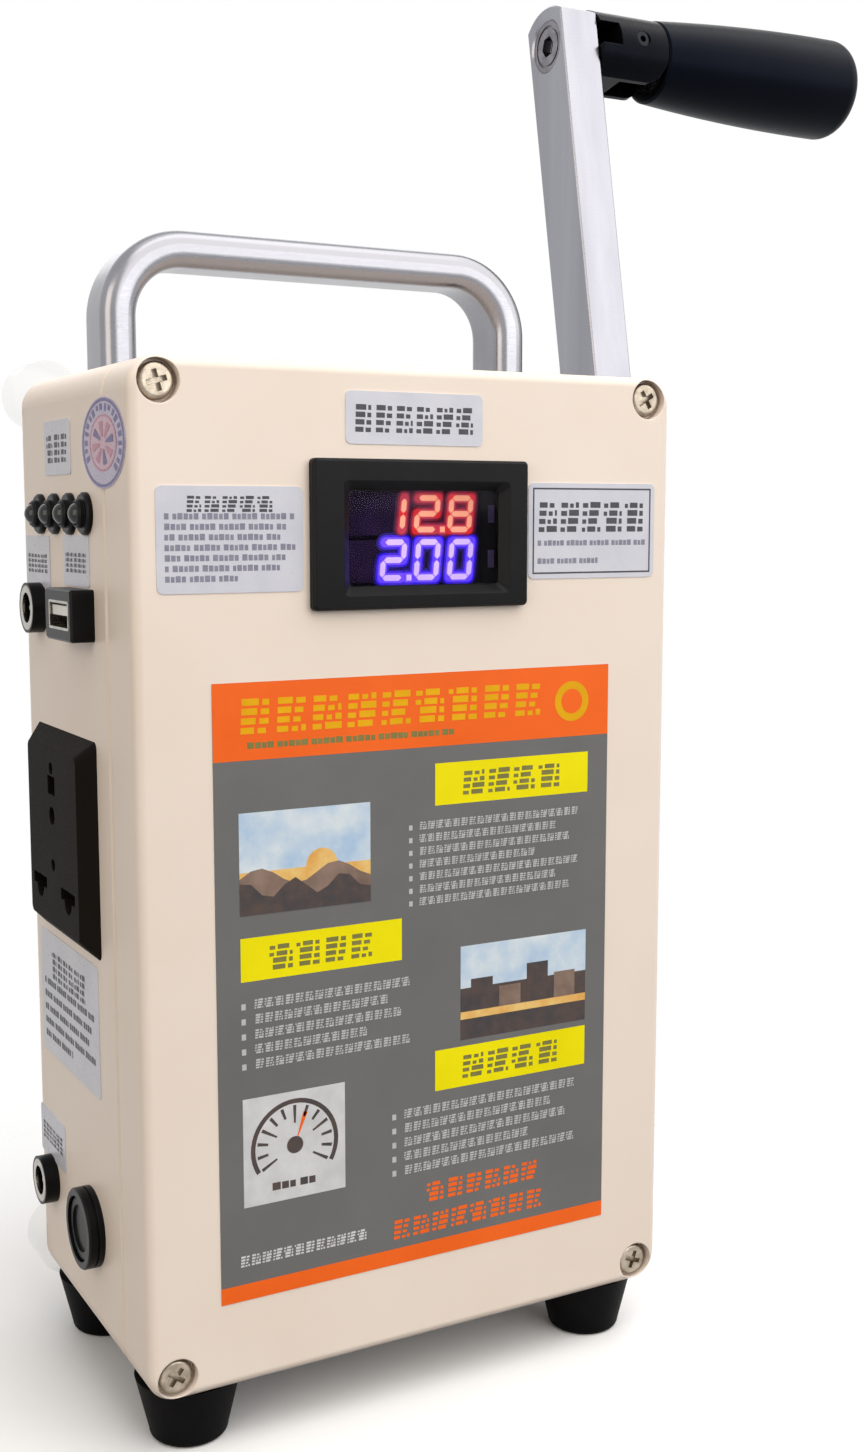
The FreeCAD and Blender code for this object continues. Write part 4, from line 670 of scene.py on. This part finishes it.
@dataclass
class SealSticker:
    """The oval sticker that bridges the seam, with rings and a plain rosette.

    Its sizes are in millimetres, and the rings' radii are shares of its own.
    """

    place: Point2 = (-23.0, 197.6)
    size: Point2 = (26.0, 17.0)
    thickness: float = 0.12
    rim: float = 0.97
    lettering: float = 0.86
    disc_line: float = 0.62
    disc: float = 0.60
    rosette: float = 0.48
    petals: int = 8
    blocks: int = 26
    gap: tuple[int, int] = (3, 4)

    def build(self) -> bpy.types.Object:
        """Make the sticker.

        Returns:
            The sticker's object.
        """
        across, up = self.size[0] / 2, self.size[1] / 2
        printer = Printer("seal_sticker", Plane.on(Face.LEFT, self.place), self.thickness)
        turns = [math.radians(6 * k) for k in range(60)]
        printer.sheet([(across * math.cos(turn), up * math.sin(turn)) for turn in turns],
                      Palette.seal_film)

        def band(share: float, inner: float, ink: Finish, layer: int, *arc: float) -> None:
            printer.ring((0, 0), (across * share, up * share), inner, ink, layer, *arc)
        band(self.rim, 0.93, Palette.violet_ink, 0)
        band(self.disc, 0.0, Palette.blush, 0)
        band(self.disc_line, 0.93, Palette.pink_ink, 1)
        turn = 180 / self.blocks
        for k in range(self.gap[0], self.blocks - self.gap[1]):
            band(self.lettering, 0.80 + 0.03 * (k % 3), Palette.violet_ink, 0,
                 2 * turn * k - 90, turn * (1.0 + 0.3 * (k % 2)))
        turn = 360 / self.petals
        for k in range(self.petals):
            ink = Palette.pink_ink if k % 3 else Palette.violet_ink
            band(self.rosette, 0.3, ink, 2, turn * k, turn * 0.5)
        return printer.finish()


@dataclass
class Poster:
    """The laminated instruction sheet, with generic pictures and greeked text.

    Places on it are in millimetres from its middle. Rows of print come with a count.
    """

    place: Point2 = (-0.15, 91.7)
    size: Point2 = (89.7, 122.4)
    thickness: float = 0.12
    header: float = 14.9
    footer: float = 3.4
    badge: Point2 = (35.65, 53.75)
    badge_radius: float = 4.2
    badge_hole: float = 2.6
    title: tuple[Area, int] = (Area(-39.85, 51.35, 68.7, 7.2), 9)
    subtitle: Area = Area(-37.85, 48.35, 45.7, 1.4)
    hills: Area = Area(-39.85, 16.2, 28.0, 20.0)
    bench: Area = Area(8.85, -15.8, 31.0, 20.0)
    gauge: Area = Area(-39.85, -42.2, 22.0, 22.0)
    headings: tuple[Area, ...] = (
        Area(2.85, 34.2, 37.0, 8.6), Area(-39.85, 3.2, 35.0, 8.6), Area(2.85, -25.7, 37.0, 8.6))
    texts: tuple[tuple[Area, int], ...] = (
        (Area(-3.15, 14.0, 43.0, 18.2), 7), (Area(-39.85, -14.3, 39.0, 15.0), 5),
        (Area(-7.15, -42.2, 47.0, 15.0), 5))
    mottos: tuple[tuple[Area, int], ...] = (
        (Area(0.85, -49.2, 27.6, 4.4), 6), (Area(-7.15, -55.8, 36.8, 4.4), 8))
    footnote: tuple[Area, int] = (Area(-40.85, -54.2, 28.0, 2.4), 12)
    ragged: tuple[float, ...] = (0.05, 0.18, 0.1, 0.3)
    printer: Printer = field(init=False)

    def build(self) -> bpy.types.Object:
        """Make the sheet.

        Returns:
            The sheet's object.
        """
        wide, high = self.size
        self.printer = Printer("instruction_sheet", Plane.on(Face.FRONT, self.place),
                               self.thickness)
        sheet = Area(-wide / 2, -high / 2, wide, high)
        self.printer.sheet(sheet.corners(), Palette.field)
        self.printer.rect(Area(-wide / 2, high / 2 - self.header, wide, self.header),
                          Palette.orange)
        self.printer.rect(Area(-wide / 2, -high / 2, wide, self.footer), Palette.orange)
        self.heading_print()
        self.landscape(self.hills)
        self.workshop(self.bench)
        for bar in self.headings:
            self.printer.rect(bar, Palette.yellow)
            self.printer.clusters(bar.part(0.17, 0.2, 0.66, 0.62), 4, Palette.olive,
                                  int(bar.left), 1)
        for block, rows in self.texts:
            self.lines(block, rows)
        self.dial(self.gauge)
        for seed, (row, count) in enumerate(self.mottos, 3):
            self.printer.clusters(row, count, Palette.orange, seed)
        self.printer.clusters(*self.footnote, Palette.pale, 4)
        return self.printer.finish()

    def heading_print(self) -> None:
        """Print the amber title, its thin line of words and a plain ring."""
        for radius, ink, layer in ((self.badge_radius, Palette.gold, 1),
                                   (self.badge_hole, Palette.orange, 2)):
            self.printer.ring(self.badge, (radius, radius), 0.0, ink, layer)
        self.printer.clusters(*self.title, Palette.gold, 1, 1)
        self.printer.words(self.subtitle, Palette.olive, 6, layer=1)

    def lines(self, block: Area, rows: int) -> None:
        """Print rows of pale text blocks with a mark before each.

        Args:
            block: where they are.
            rows: how many rows fill it.
        """
        pitch = block.high / rows
        for row in range(rows):
            z = block.low + pitch * (rows - 1 - row)
            wide = block.wide * (1 - self.ragged[row % len(self.ragged)])
            self.printer.rect(Area(block.left, z, pitch * 0.3, pitch * 0.4), Palette.mist)
            indent = pitch * 0.9
            self.printer.clusters(Area(block.left + indent, z, wide - indent, pitch * 0.66),
                                  int(wide / (pitch * 0.75)), Palette.mist, row + rows)

    def landscape(self, area: Area) -> None:
        """Print a plain picture of hills under a low sun.

        Args:
            area: where it is.
        """
        horizon, radius = 0.42, area.high * 0.17
        self.printer.rect(area, Palette.sky)
        self.printer.rect(area.part(0, 0, 1, horizon), Palette.sun, 1)
        self.printer.ring(area.point(0.62, horizon), (radius, radius), 0.0, Palette.sun, 1, 0, 180)
        for k, (height, finish) in enumerate([(0.36, Palette.umber), (0.24, Palette.hill)]):
            crest = [area.point(u / 12, height + 0.09 * math.sin(u * (0.9 + 0.5 * k) + k))
                     for u in range(12, -1, -1)]
            self.printer.polygon(area.corners()[:2] + crest, finish, 2 + k)

    def workshop(self, area: Area) -> None:
        """Print a plain picture of boxes on a bench.

        Args:
            area: where it is.
        """
        shelf = 0.3
        self.printer.rect(area, Palette.hill)
        self.printer.rect(area.part(0, 0.55, 1, 0.45), Palette.sky, 1)
        self.printer.rect(area.part(0, 0.22, 1, shelf - 0.22), Palette.sun, 1)
        for k, tall in enumerate((0.34, 0.22, 0.42, 0.28)):
            self.printer.rect(area.part(0.08 + 0.22 * k, shelf, 0.17, tall),
                              (Palette.hill, Palette.umber)[k % 2], 2)

    def dial(self, area: Area) -> None:
        """Print a pale square with a plain gauge on it.

        Args:
            area: where it is.
        """
        half = area.wide / 2

        def band(share: float, inner: float, ink: Finish, layer: int, *arc: float) -> None:
            self.printer.ring(area.point(0.5, 0.5), (half * share, half * share), inner, ink,
                              layer, *arc)
        self.printer.rect(area, Palette.pale)
        band(0.86, 0.9, Palette.hill, 1, -30, 240)
        for k in range(13):
            band(0.74, 0.72 if k % 3 else 0.55, Palette.hill, 1, 20 * k - 32.5, 5)
        band(0.62, 0.0, Palette.orange, 1, 66, 8)
        band(0.16, 0.0, Palette.hill, 2)
        self.printer.words(Area(*area.point(0.275, 0.1), area.wide * 0.45, 1.8), Palette.hill, 9,
                           layer=1)


# Which segments a figure lights, and each segment's ends in half widths and half heights.
SEGMENTS = {"0": "abcdef", "1": "bc", "2": "abged", "8": "abcdefg"}
SEGMENT_ENDS = {
    "a": ((-1, 1), (1, 1)), "b": ((1, 1), (1, 0)), "c": ((1, 0), (1, -1)),
    "d": ((-1, -1), (1, -1)), "e": ((-1, 0), (-1, -1)), "f": ((-1, 1), (-1, 0)),
    "g": ((-1, 0), (1, 0))}


@dataclass
class MeterDisplay:
    """The two rows of glowing seven-segment figures on the meter's board, in millimetres."""

    width: float = 4.5
    stroke: float = 1.15
    trim: float = 0.1
    slant: float = 0.10
    pitch: float = 7.7
    right: float = 14.2
    point_place: float = 0.78
    rows: tuple[tuple[str, float, float], ...] = (("12.8", 184.5, 6.3), ("2.00", 175.3, 7.1))
    # How much wider each layer is than the stroke; the wider layers are painted glow round the
    # segments.
    swells: tuple[float, ...] = (2.6, 1.7, 0.8, 0.0)
    step: float = 0.06
    unit: tuple[float, float, float] = (18.6, 1.5, 3.6)

    def build(self) -> bpy.types.Object:
        """Make both rows in front of the board.

        Returns:
            The display's object.
        """
        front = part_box("meter_board")[0].y
        printer = Printer("meter_display", Plane(Vector((0, front, 0)), Vector((1, 0, 0))),
                          step=self.step)
        x, wide, high = self.unit
        for (text, z, tall), layers in zip(self.rows, (Palette.red_layers, Palette.blue_layers)):
            for layer, (finish, swell) in enumerate(zip(layers, self.swells)):
                self.row(printer, text, (z, tall), finish, layer, swell)
            printer.rect(Area(x, z - high / 2, wide, high), Palette.grey_ink)
        return printer.finish()

    def row(self, printer: Printer, text: str, place: Point2, finish: Finish, layer: int,
            swell: float) -> None:
        """Print one row of figures.

        Args:
            printer: gathers the strokes.
            text: the figures, with a point.
            place: the middle of the row and the height of a figure.
            finish: the colour of the strokes.
            layer: how many layers of light lie under them.
            swell: how much wider than the stroke they are; wider strokes are painted glow.
        """
        z, high = place
        stroke = self.stroke + swell
        x = self.right - self.pitch * (len(text) - 2) - self.width / 2
        for letter in text:
            if letter == ".":
                left = x - self.pitch + self.width * self.point_place - stroke / 2
                printer.rect(Area(left, z - high / 2 - stroke / 2, stroke, stroke), finish, layer)
                continue
            for part in SEGMENTS[letter]:
                outline = self.segment(part, high, stroke)
                printer.polygon([(x + p.x + p.y * self.slant, z + p.y) for p in outline],
                                finish, layer)
            x += self.pitch

    def segment(self, part: str, high: float, stroke: float) -> list[Vector]:
        """Outline one segment, with pointed ends, or round ones where it swells into painted glow.

        Args:
            part: the segment's letter, a to g.
            high: the height of the figure.
            stroke: the segment's thickness.

        Returns:
            Its corners about the middle of the figure, turning left.
        """
        start, end = (Vector((x * self.width / 2, z * high / 2)) for x, z in SEGMENT_ENDS[part])
        along = (end - start).normalized()
        side = Vector((-along.y, along.x)) * stroke / 2
        reach = along * stroke / 2
        # A stroke wider than the segment is painted glow, so its ends are round.
        if stroke > self.stroke:
            turns = [math.pi * k / 6 for k in range(7)]
            return ([end + reach * math.sin(turn) - side * math.cos(turn) for turn in turns]
                    + [start - reach * math.sin(turn) + side * math.cos(turn) for turn in turns])
        start, end = start + along * self.trim, end - along * self.trim
        return [start, start + reach - side, end - reach - side, end, end - reach + side,
                start + reach + side]


@dataclass
class CoilSpring:
    """The wound spring in the grip, built as a fixed coil; the real one shortens as the grip is
    pulled out. In millimetres.
    """

    wire: float = 0.8
    turns: int = 9
    steps: int = 24
    sides: int = 8
    clearance: float = 0.05
    travel: float = 5.2

    def build(self) -> bpy.types.Object:
        """Wind the coil in the place of the plain tube.

        Returns:
            The spring's object.
        """
        low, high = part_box("grip_spring")
        middle = (low + high) / 2
        start = low.x + self.clearance * MM
        length = high.x - low.x - 2 * self.clearance * MM
        radius = (high.z - low.z) / 2 - self.wire / 2 * MM
        coil = bmesh.new()
        end = Vector((start, middle.y, middle.z))
        rings = [self.section(coil, end, radius, length, step / self.steps)
                 for step in range(self.turns * self.steps + 1)]
        for near, far in zip(rings, rings[1:]):
            for side in range(self.sides):
                after = (side + 1) % self.sides
                coil.faces.new((near[side], near[after], far[after], far[side])).smooth = True
        coil.faces.new(rings[0][::-1])
        coil.faces.new(rings[-1])
        bmesh.ops.recalc_face_normals(coil, faces=coil.faces)
        data = bpy.data.meshes.new("return_spring")
        coil.to_mesh(data)
        coil.free()
        data.materials.append(shared(Palette.wire))
        piece = placed("return_spring", data)
        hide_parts("grip_spring")
        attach(piece, "grip_tube")
        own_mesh(piece)
        return piece

    def section(self, coil: bmesh.types.BMesh, start: Vector, radius: float, length: float,
                turn: float) -> list[bmesh.types.BMVert]:
        """Make one ring of points round the wire.

        Args:
            coil: the mesh that the points join.
            start: the middle of the coil's first end, in metres.
            radius: the coil's radius to the middle of the wire, in metres.
            length: the coil's length over its ends, in metres.
            turn: the turns wound so far.

        Returns:
            The ring's points.
        """
        wire = self.wire * MM
        pitch = (length - 3 * wire) / (self.turns - 2)
        along = wire / 2 + wire * min(turn, 1) + pitch * min(max(turn - 1, 0), self.turns - 2)
        along += wire * max(turn - self.turns + 1, 0)
        angle = math.tau * turn
        outward = Vector((0, math.cos(angle), math.sin(angle)))
        centre = start + Vector((along, 0, 0)) + outward * radius
        bends = [math.tau * side / self.sides for side in range(self.sides)]
        spokes = [outward * math.cos(bend) + Vector((1, 0, 0)) * math.sin(bend) for bend in bends]
        return [coil.verts.new(centre + spoke * wire / 2) for spoke in spokes]


Dressing = tuple[tuple[Finish, str], ...]
Maker = Label | SealSticker | Poster | MeterDisplay | CoilSpring


@dataclass
class SubAssembly:
    """A group of pieces that is dressed and completed together.

    Each finish comes with the CAD nodes that take it. The makers add the rest.
    """

    finishes: Dressing = ()
    makers: tuple[Maker, ...] = ()

    def dress(self) -> None:
        """Give every carried-over CAD node its finish."""
        for finish, nodes in self.finishes:
            for node in nodes.split():
                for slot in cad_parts[node].material_slots:
                    slot.material = shared(finish)
                log.info("%s: %s", node, finish.name)

    def build(self) -> list[bpy.types.Object]:
        """Make the pieces that the CAD model leaves to this script.

        Returns:
            The new objects.
        """
        return [maker.build() for maker in self.makers]


@dataclass
class Case(SubAssembly):
    """The two shells with their seal, screws, feet, pads, handle and prints."""

    finishes: Dressing = (
        (Palette.case, "base_shell front_lid"), (Palette.seal, "lid_gasket"),
        (Palette.screw, "lid_screws"), (Palette.zinc, "foot_screws handle_screws"),
        (Palette.handle, "carry_handle"),
        (Palette.rubber, "foot_front_left foot_front_right foot_rear_left foot_rear_right"),
        (Palette.clear, "bumper_lower_left bumper_lower_right bumper_upper_left "
                        "bumper_upper_right"))
    makers: tuple[Maker, ...] = (
        Label("label_meter", Face.FRONT, (-1.7, 202.85), (30.4, 10.1), 5.6, 6, 2.2),
        Label("label_notes", Face.FRONT, (-40.65, 179.7), (29.3, 19.8), 3.2, 5, 1.6, 7, 1.35),
        Label("label_formula", Face.FRONT, (40.25, 181.0), (31.5, 19.6), 6.6, 5, 3.4, 2, 1.3,
              border=0.35, margin=2.2),
        Label("label_lamps", Face.LEFT, (6.75, 197.8), (17.9, 11.0), 6.0, 3, 2.5, corner=0.8),
        Label("label_low_voltage", Face.LEFT, (23.05, 174.6), (17.9, 10.8), 4.2, 6, 3.6,
              corner=0.8),
        Label("label_usb", Face.LEFT, (-4.15, 175.25), (17.1, 10.1), 4.2, 5, 3.2, corner=0.8),
        Label("label_mains", Face.LEFT, (9.0, 80.4), (41.0, 27.6), 6.4, 6, 3.6, 5, 1.7,
              Palette.ink, corner=0.8, margin=2.6),
        Label("label_charge", Face.LEFT, (24.2, 47.0), (18.4, 10.8), 4.2, 6, 3.2, corner=0.8),
        SealSticker(), Poster())


@dataclass
class Meter(SubAssembly):
    """The panel meter in the lid."""

    finishes: Dressing = (
        (Palette.black, "meter_bezel"), (Palette.window, "meter_window"),
        (Palette.potting, "meter_board"))
    makers: tuple[Maker, ...] = (MeterDisplay(),)


@dataclass
class Outlets(SubAssembly):
    """The lamps, outlets and switch on the left side."""

    finishes: Dressing = (
        (Palette.black, "led_bezels dc_jack_upper dc_jack_lower usb_housing switch_ring "
                        "switch_nut power_button"),
        (Palette.lamp, "led_lamps"), (Palette.nickel, "dc_contacts usb_shell"),
        (Palette.zinc, "dc_jack_nuts"), (Palette.tongue, "usb_tongue"),
        (Palette.socket, "ac_socket_body"), (Palette.brass, "ac_contacts"))


@dataclass
class GearTrain(SubAssembly):
    """The bearing housing, gears, generator, cells and board inside the case."""

    finishes: Dressing = (
        (Palette.gear, "shaft_bearings idler_axle idler_gear rotor_pinion crank_shaft "
                       "crank_gear"),
        (Palette.handle, "bearing_housing"), (Palette.can, "generator_can"),
        (Palette.zinc, "housing_screws gearbox_plate_left gearbox_plate_right"),
        (Palette.black, "generator_end_cap battery_tray"), (Palette.board, "inverter_board"),
        (Palette.magnet, "generator_magnets"), (Palette.copper, "generator_rotor"),
        (Palette.sleeve, "battery_cells"))


@dataclass
class Crank(SubAssembly):
    """The crank arm with its folding grip."""

    finishes: Dressing = (
        (Palette.arm, "crank_arm"), (Palette.nickel, "hub_screw"),
        (Palette.turned, "grip_axle_screw"), (Palette.hinge, "grip_base"),
        (Palette.oxide, "fold_pin"), (Palette.gear, "fold_link grip_core core_clip"),
        (Palette.wire, "grip_spring"), (Palette.grip, "grip_sleeve grip_end_cap"))
    makers: tuple[Maker, ...] = (CoilSpring(),)


@dataclass(frozen=True)
class SoftBox:
    """A large soft lamp aimed at the middle of the object, in degrees, metres and watts."""

    name: str
    turn: float
    height: float
    distance: float
    size: Point2
    power: float
    colour: str = "FFFFFF"

    def build(self, target: Vector) -> None:
        """Hang the lamp.

        Args:
            target: the point that it faces, in metres.
        """
        lamp = bpy.data.lights.new(self.name, "AREA")
        lamp.shape = "RECTANGLE"
        lamp.size, lamp.size_y = self.size
        lamp.energy = self.power
        lamp.color = linear(self.colour)[:3]
        piece = placed(self.name, lamp)
        turn, height = math.radians(self.turn), math.radians(self.height)
        level = math.cos(height)
        away = Vector((math.sin(turn) * level, -math.cos(turn) * level, math.sin(height)))
        piece.location = target + away * self.distance
        piece.rotation_euler = away.to_track_quat("Z", "Y").to_euler()


@dataclass
class Studio:
    """The white sweep, the soft lamps and the camera. The surround is dimmer from below."""

    eye: Point3 = (-0.15856, -0.32935, 0.18399)
    heading: float = 28.84
    tilt: float = -7.155
    lens: float = 41.41
    sensor: float = 36.0
    nearest: float = 0.01
    ambient: Point2 = (0.0, 0.58)
    ambient_heights: Point2 = (-0.5, 0.7)
    paper: str = "FAFAFA"
    bounce: str = "404040"
    floor_fade: Point2 = (0.07, 0.20)
    floor_margin: float = 1.2
    lamps: tuple[SoftBox, ...] = (
        SoftBox("key", 32, 46, 0.88, (1.5, 1.35), 11.4, "FFFBF7"),
        SoftBox("top", 10, 78, 1.2, (1.0, 1.0), 2.4),
        SoftBox("left_fill", -66, 12, 1.2, (0.75, 0.95), 4.2, "FFF0DC"),
        SoftBox("low_strip", 20, 7, 1.1, (0.8, 0.2), 1.1),
        SoftBox("back_fill", 162, 32, 1.4, (1.2, 1.0), 3.0),
    )

    def build(self) -> None:
        """Set the floor, the world, the lamps and the camera."""
        self.floor()
        self.world()
        for lamp in self.lamps:
            lamp.build((Vector(cad_box[0]) + Vector(cad_box[1])) / 2)
        self.camera()

    def floor(self) -> None:
        """Lay the white floor that keeps the contact shadow and fades into the surround."""
        sweep = bmesh.new()
        bmesh.ops.create_grid(sweep, x_segments=2, y_segments=2,
                              size=self.floor_fade[1] * self.floor_margin)
        data = bpy.data.meshes.new("studio_floor")
        sweep.to_mesh(data)
        sweep.free()
        paper = Finish("seamless paper, white", self.paper, "F6F6F6", 0.9, grain_mm=1.0,
                       patch_mm=300).build()
        tree = paper.node_tree
        shader = tree.nodes["Principled BSDF"]
        place = add_node(tree, "TexCoord").outputs["Object"]
        away = add_node(tree, "VectorMath", {"0": place}, operation="LENGTH").outputs["Value"]
        near, far = self.floor_fade
        fade = add_node(tree, "MapRange", {"Value": away, "From Min": near, "From Max": far},
                        interpolation_type="SMOOTHSTEP").outputs["Result"]
        shown = add_node(tree, "Mix", {
            "Factor": self.seen(tree), "6": linear(self.bounce), "7": linear(self.paper)},
            data_type="RGBA")
        tree.links.new(shown.outputs[2], shader.inputs["Base Color"])
        clear = add_node(tree, "BsdfTransparent").outputs["BSDF"]
        mixed = add_node(tree, "MixShader", {"0": fade, "1": shader.outputs["BSDF"], "2": clear})
        tree.links.new(mixed.outputs["Shader"], tree.nodes["Material Output"].inputs["Surface"])
        data.materials.append(paper)
        placed("studio_floor", data)

    def seen(self, tree: bpy.types.NodeTree) -> bpy.types.NodeSocket:
        """Tell what is seen by camera, mirror or glass from what only lights the object.

        Args:
            tree: the node tree that asks.

        Returns:
            A socket that is 1 for what is seen and 0 for the rest.
        """
        rays = add_node(tree, "LightPath").outputs
        either = add_node(tree, "Math", {"0": rays["Is Camera Ray"], "1": rays["Is Glossy Ray"]},
                          operation="ADD")
        return add_node(tree, "Math", {"0": either.outputs[0], "1": rays["Is Transmission Ray"]},
                        operation="ADD", use_clamp=True).outputs[0]

    def world(self) -> None:
        """Give the camera and mirrors a white surround, and a softer sky to the rest."""
        world = bpy.data.worlds.new("white_surround")
        world.use_nodes = True
        bpy.context.scene.world = world
        tree = world.node_tree
        way = add_node(tree, "TexCoord").outputs["Generated"]
        rise = add_node(tree, "SeparateXYZ", {"Vector": way})
        (low, high), (dim, bright) = self.ambient_heights, self.ambient
        sky = add_node(tree, "MapRange", {
            "Value": rise.outputs["Z"], "From Min": low, "From Max": high,
            "To Min": dim, "To Max": bright})
        strength = add_node(tree, "MapRange", {
            "Value": self.seen(tree), "To Min": sky.outputs["Result"]})
        tree.links.new(strength.outputs["Result"], tree.nodes["Background"].inputs["Strength"])
        tree.nodes["Background"].inputs["Color"].default_value = (1.0, 1.0, 1.0, 1.0)

    def camera(self) -> None:
        """Place the camera."""
        lens = bpy.data.cameras.new("camera")
        lens.lens, lens.sensor_width = self.lens, self.sensor
        lens.clip_start = self.nearest
        piece = placed("camera", lens)
        piece.location = self.eye
        piece.rotation_euler = (math.radians(90 + self.tilt), 0, math.radians(-self.heading))
        scene = bpy.context.scene
        scene.camera = piece
        scene.view_settings.view_transform = "Standard"


def main() -> None:
    """Dress and complete the model, then light it."""
    for part in (Case(), Meter(), Outlets(), GearTrain(), Crank()):
        part.dress()
        for piece in part.build():
            log.info("%s: made by %s", piece.name, type(part).__name__)
    Studio().build()


if __name__ == "__main__":
    main()
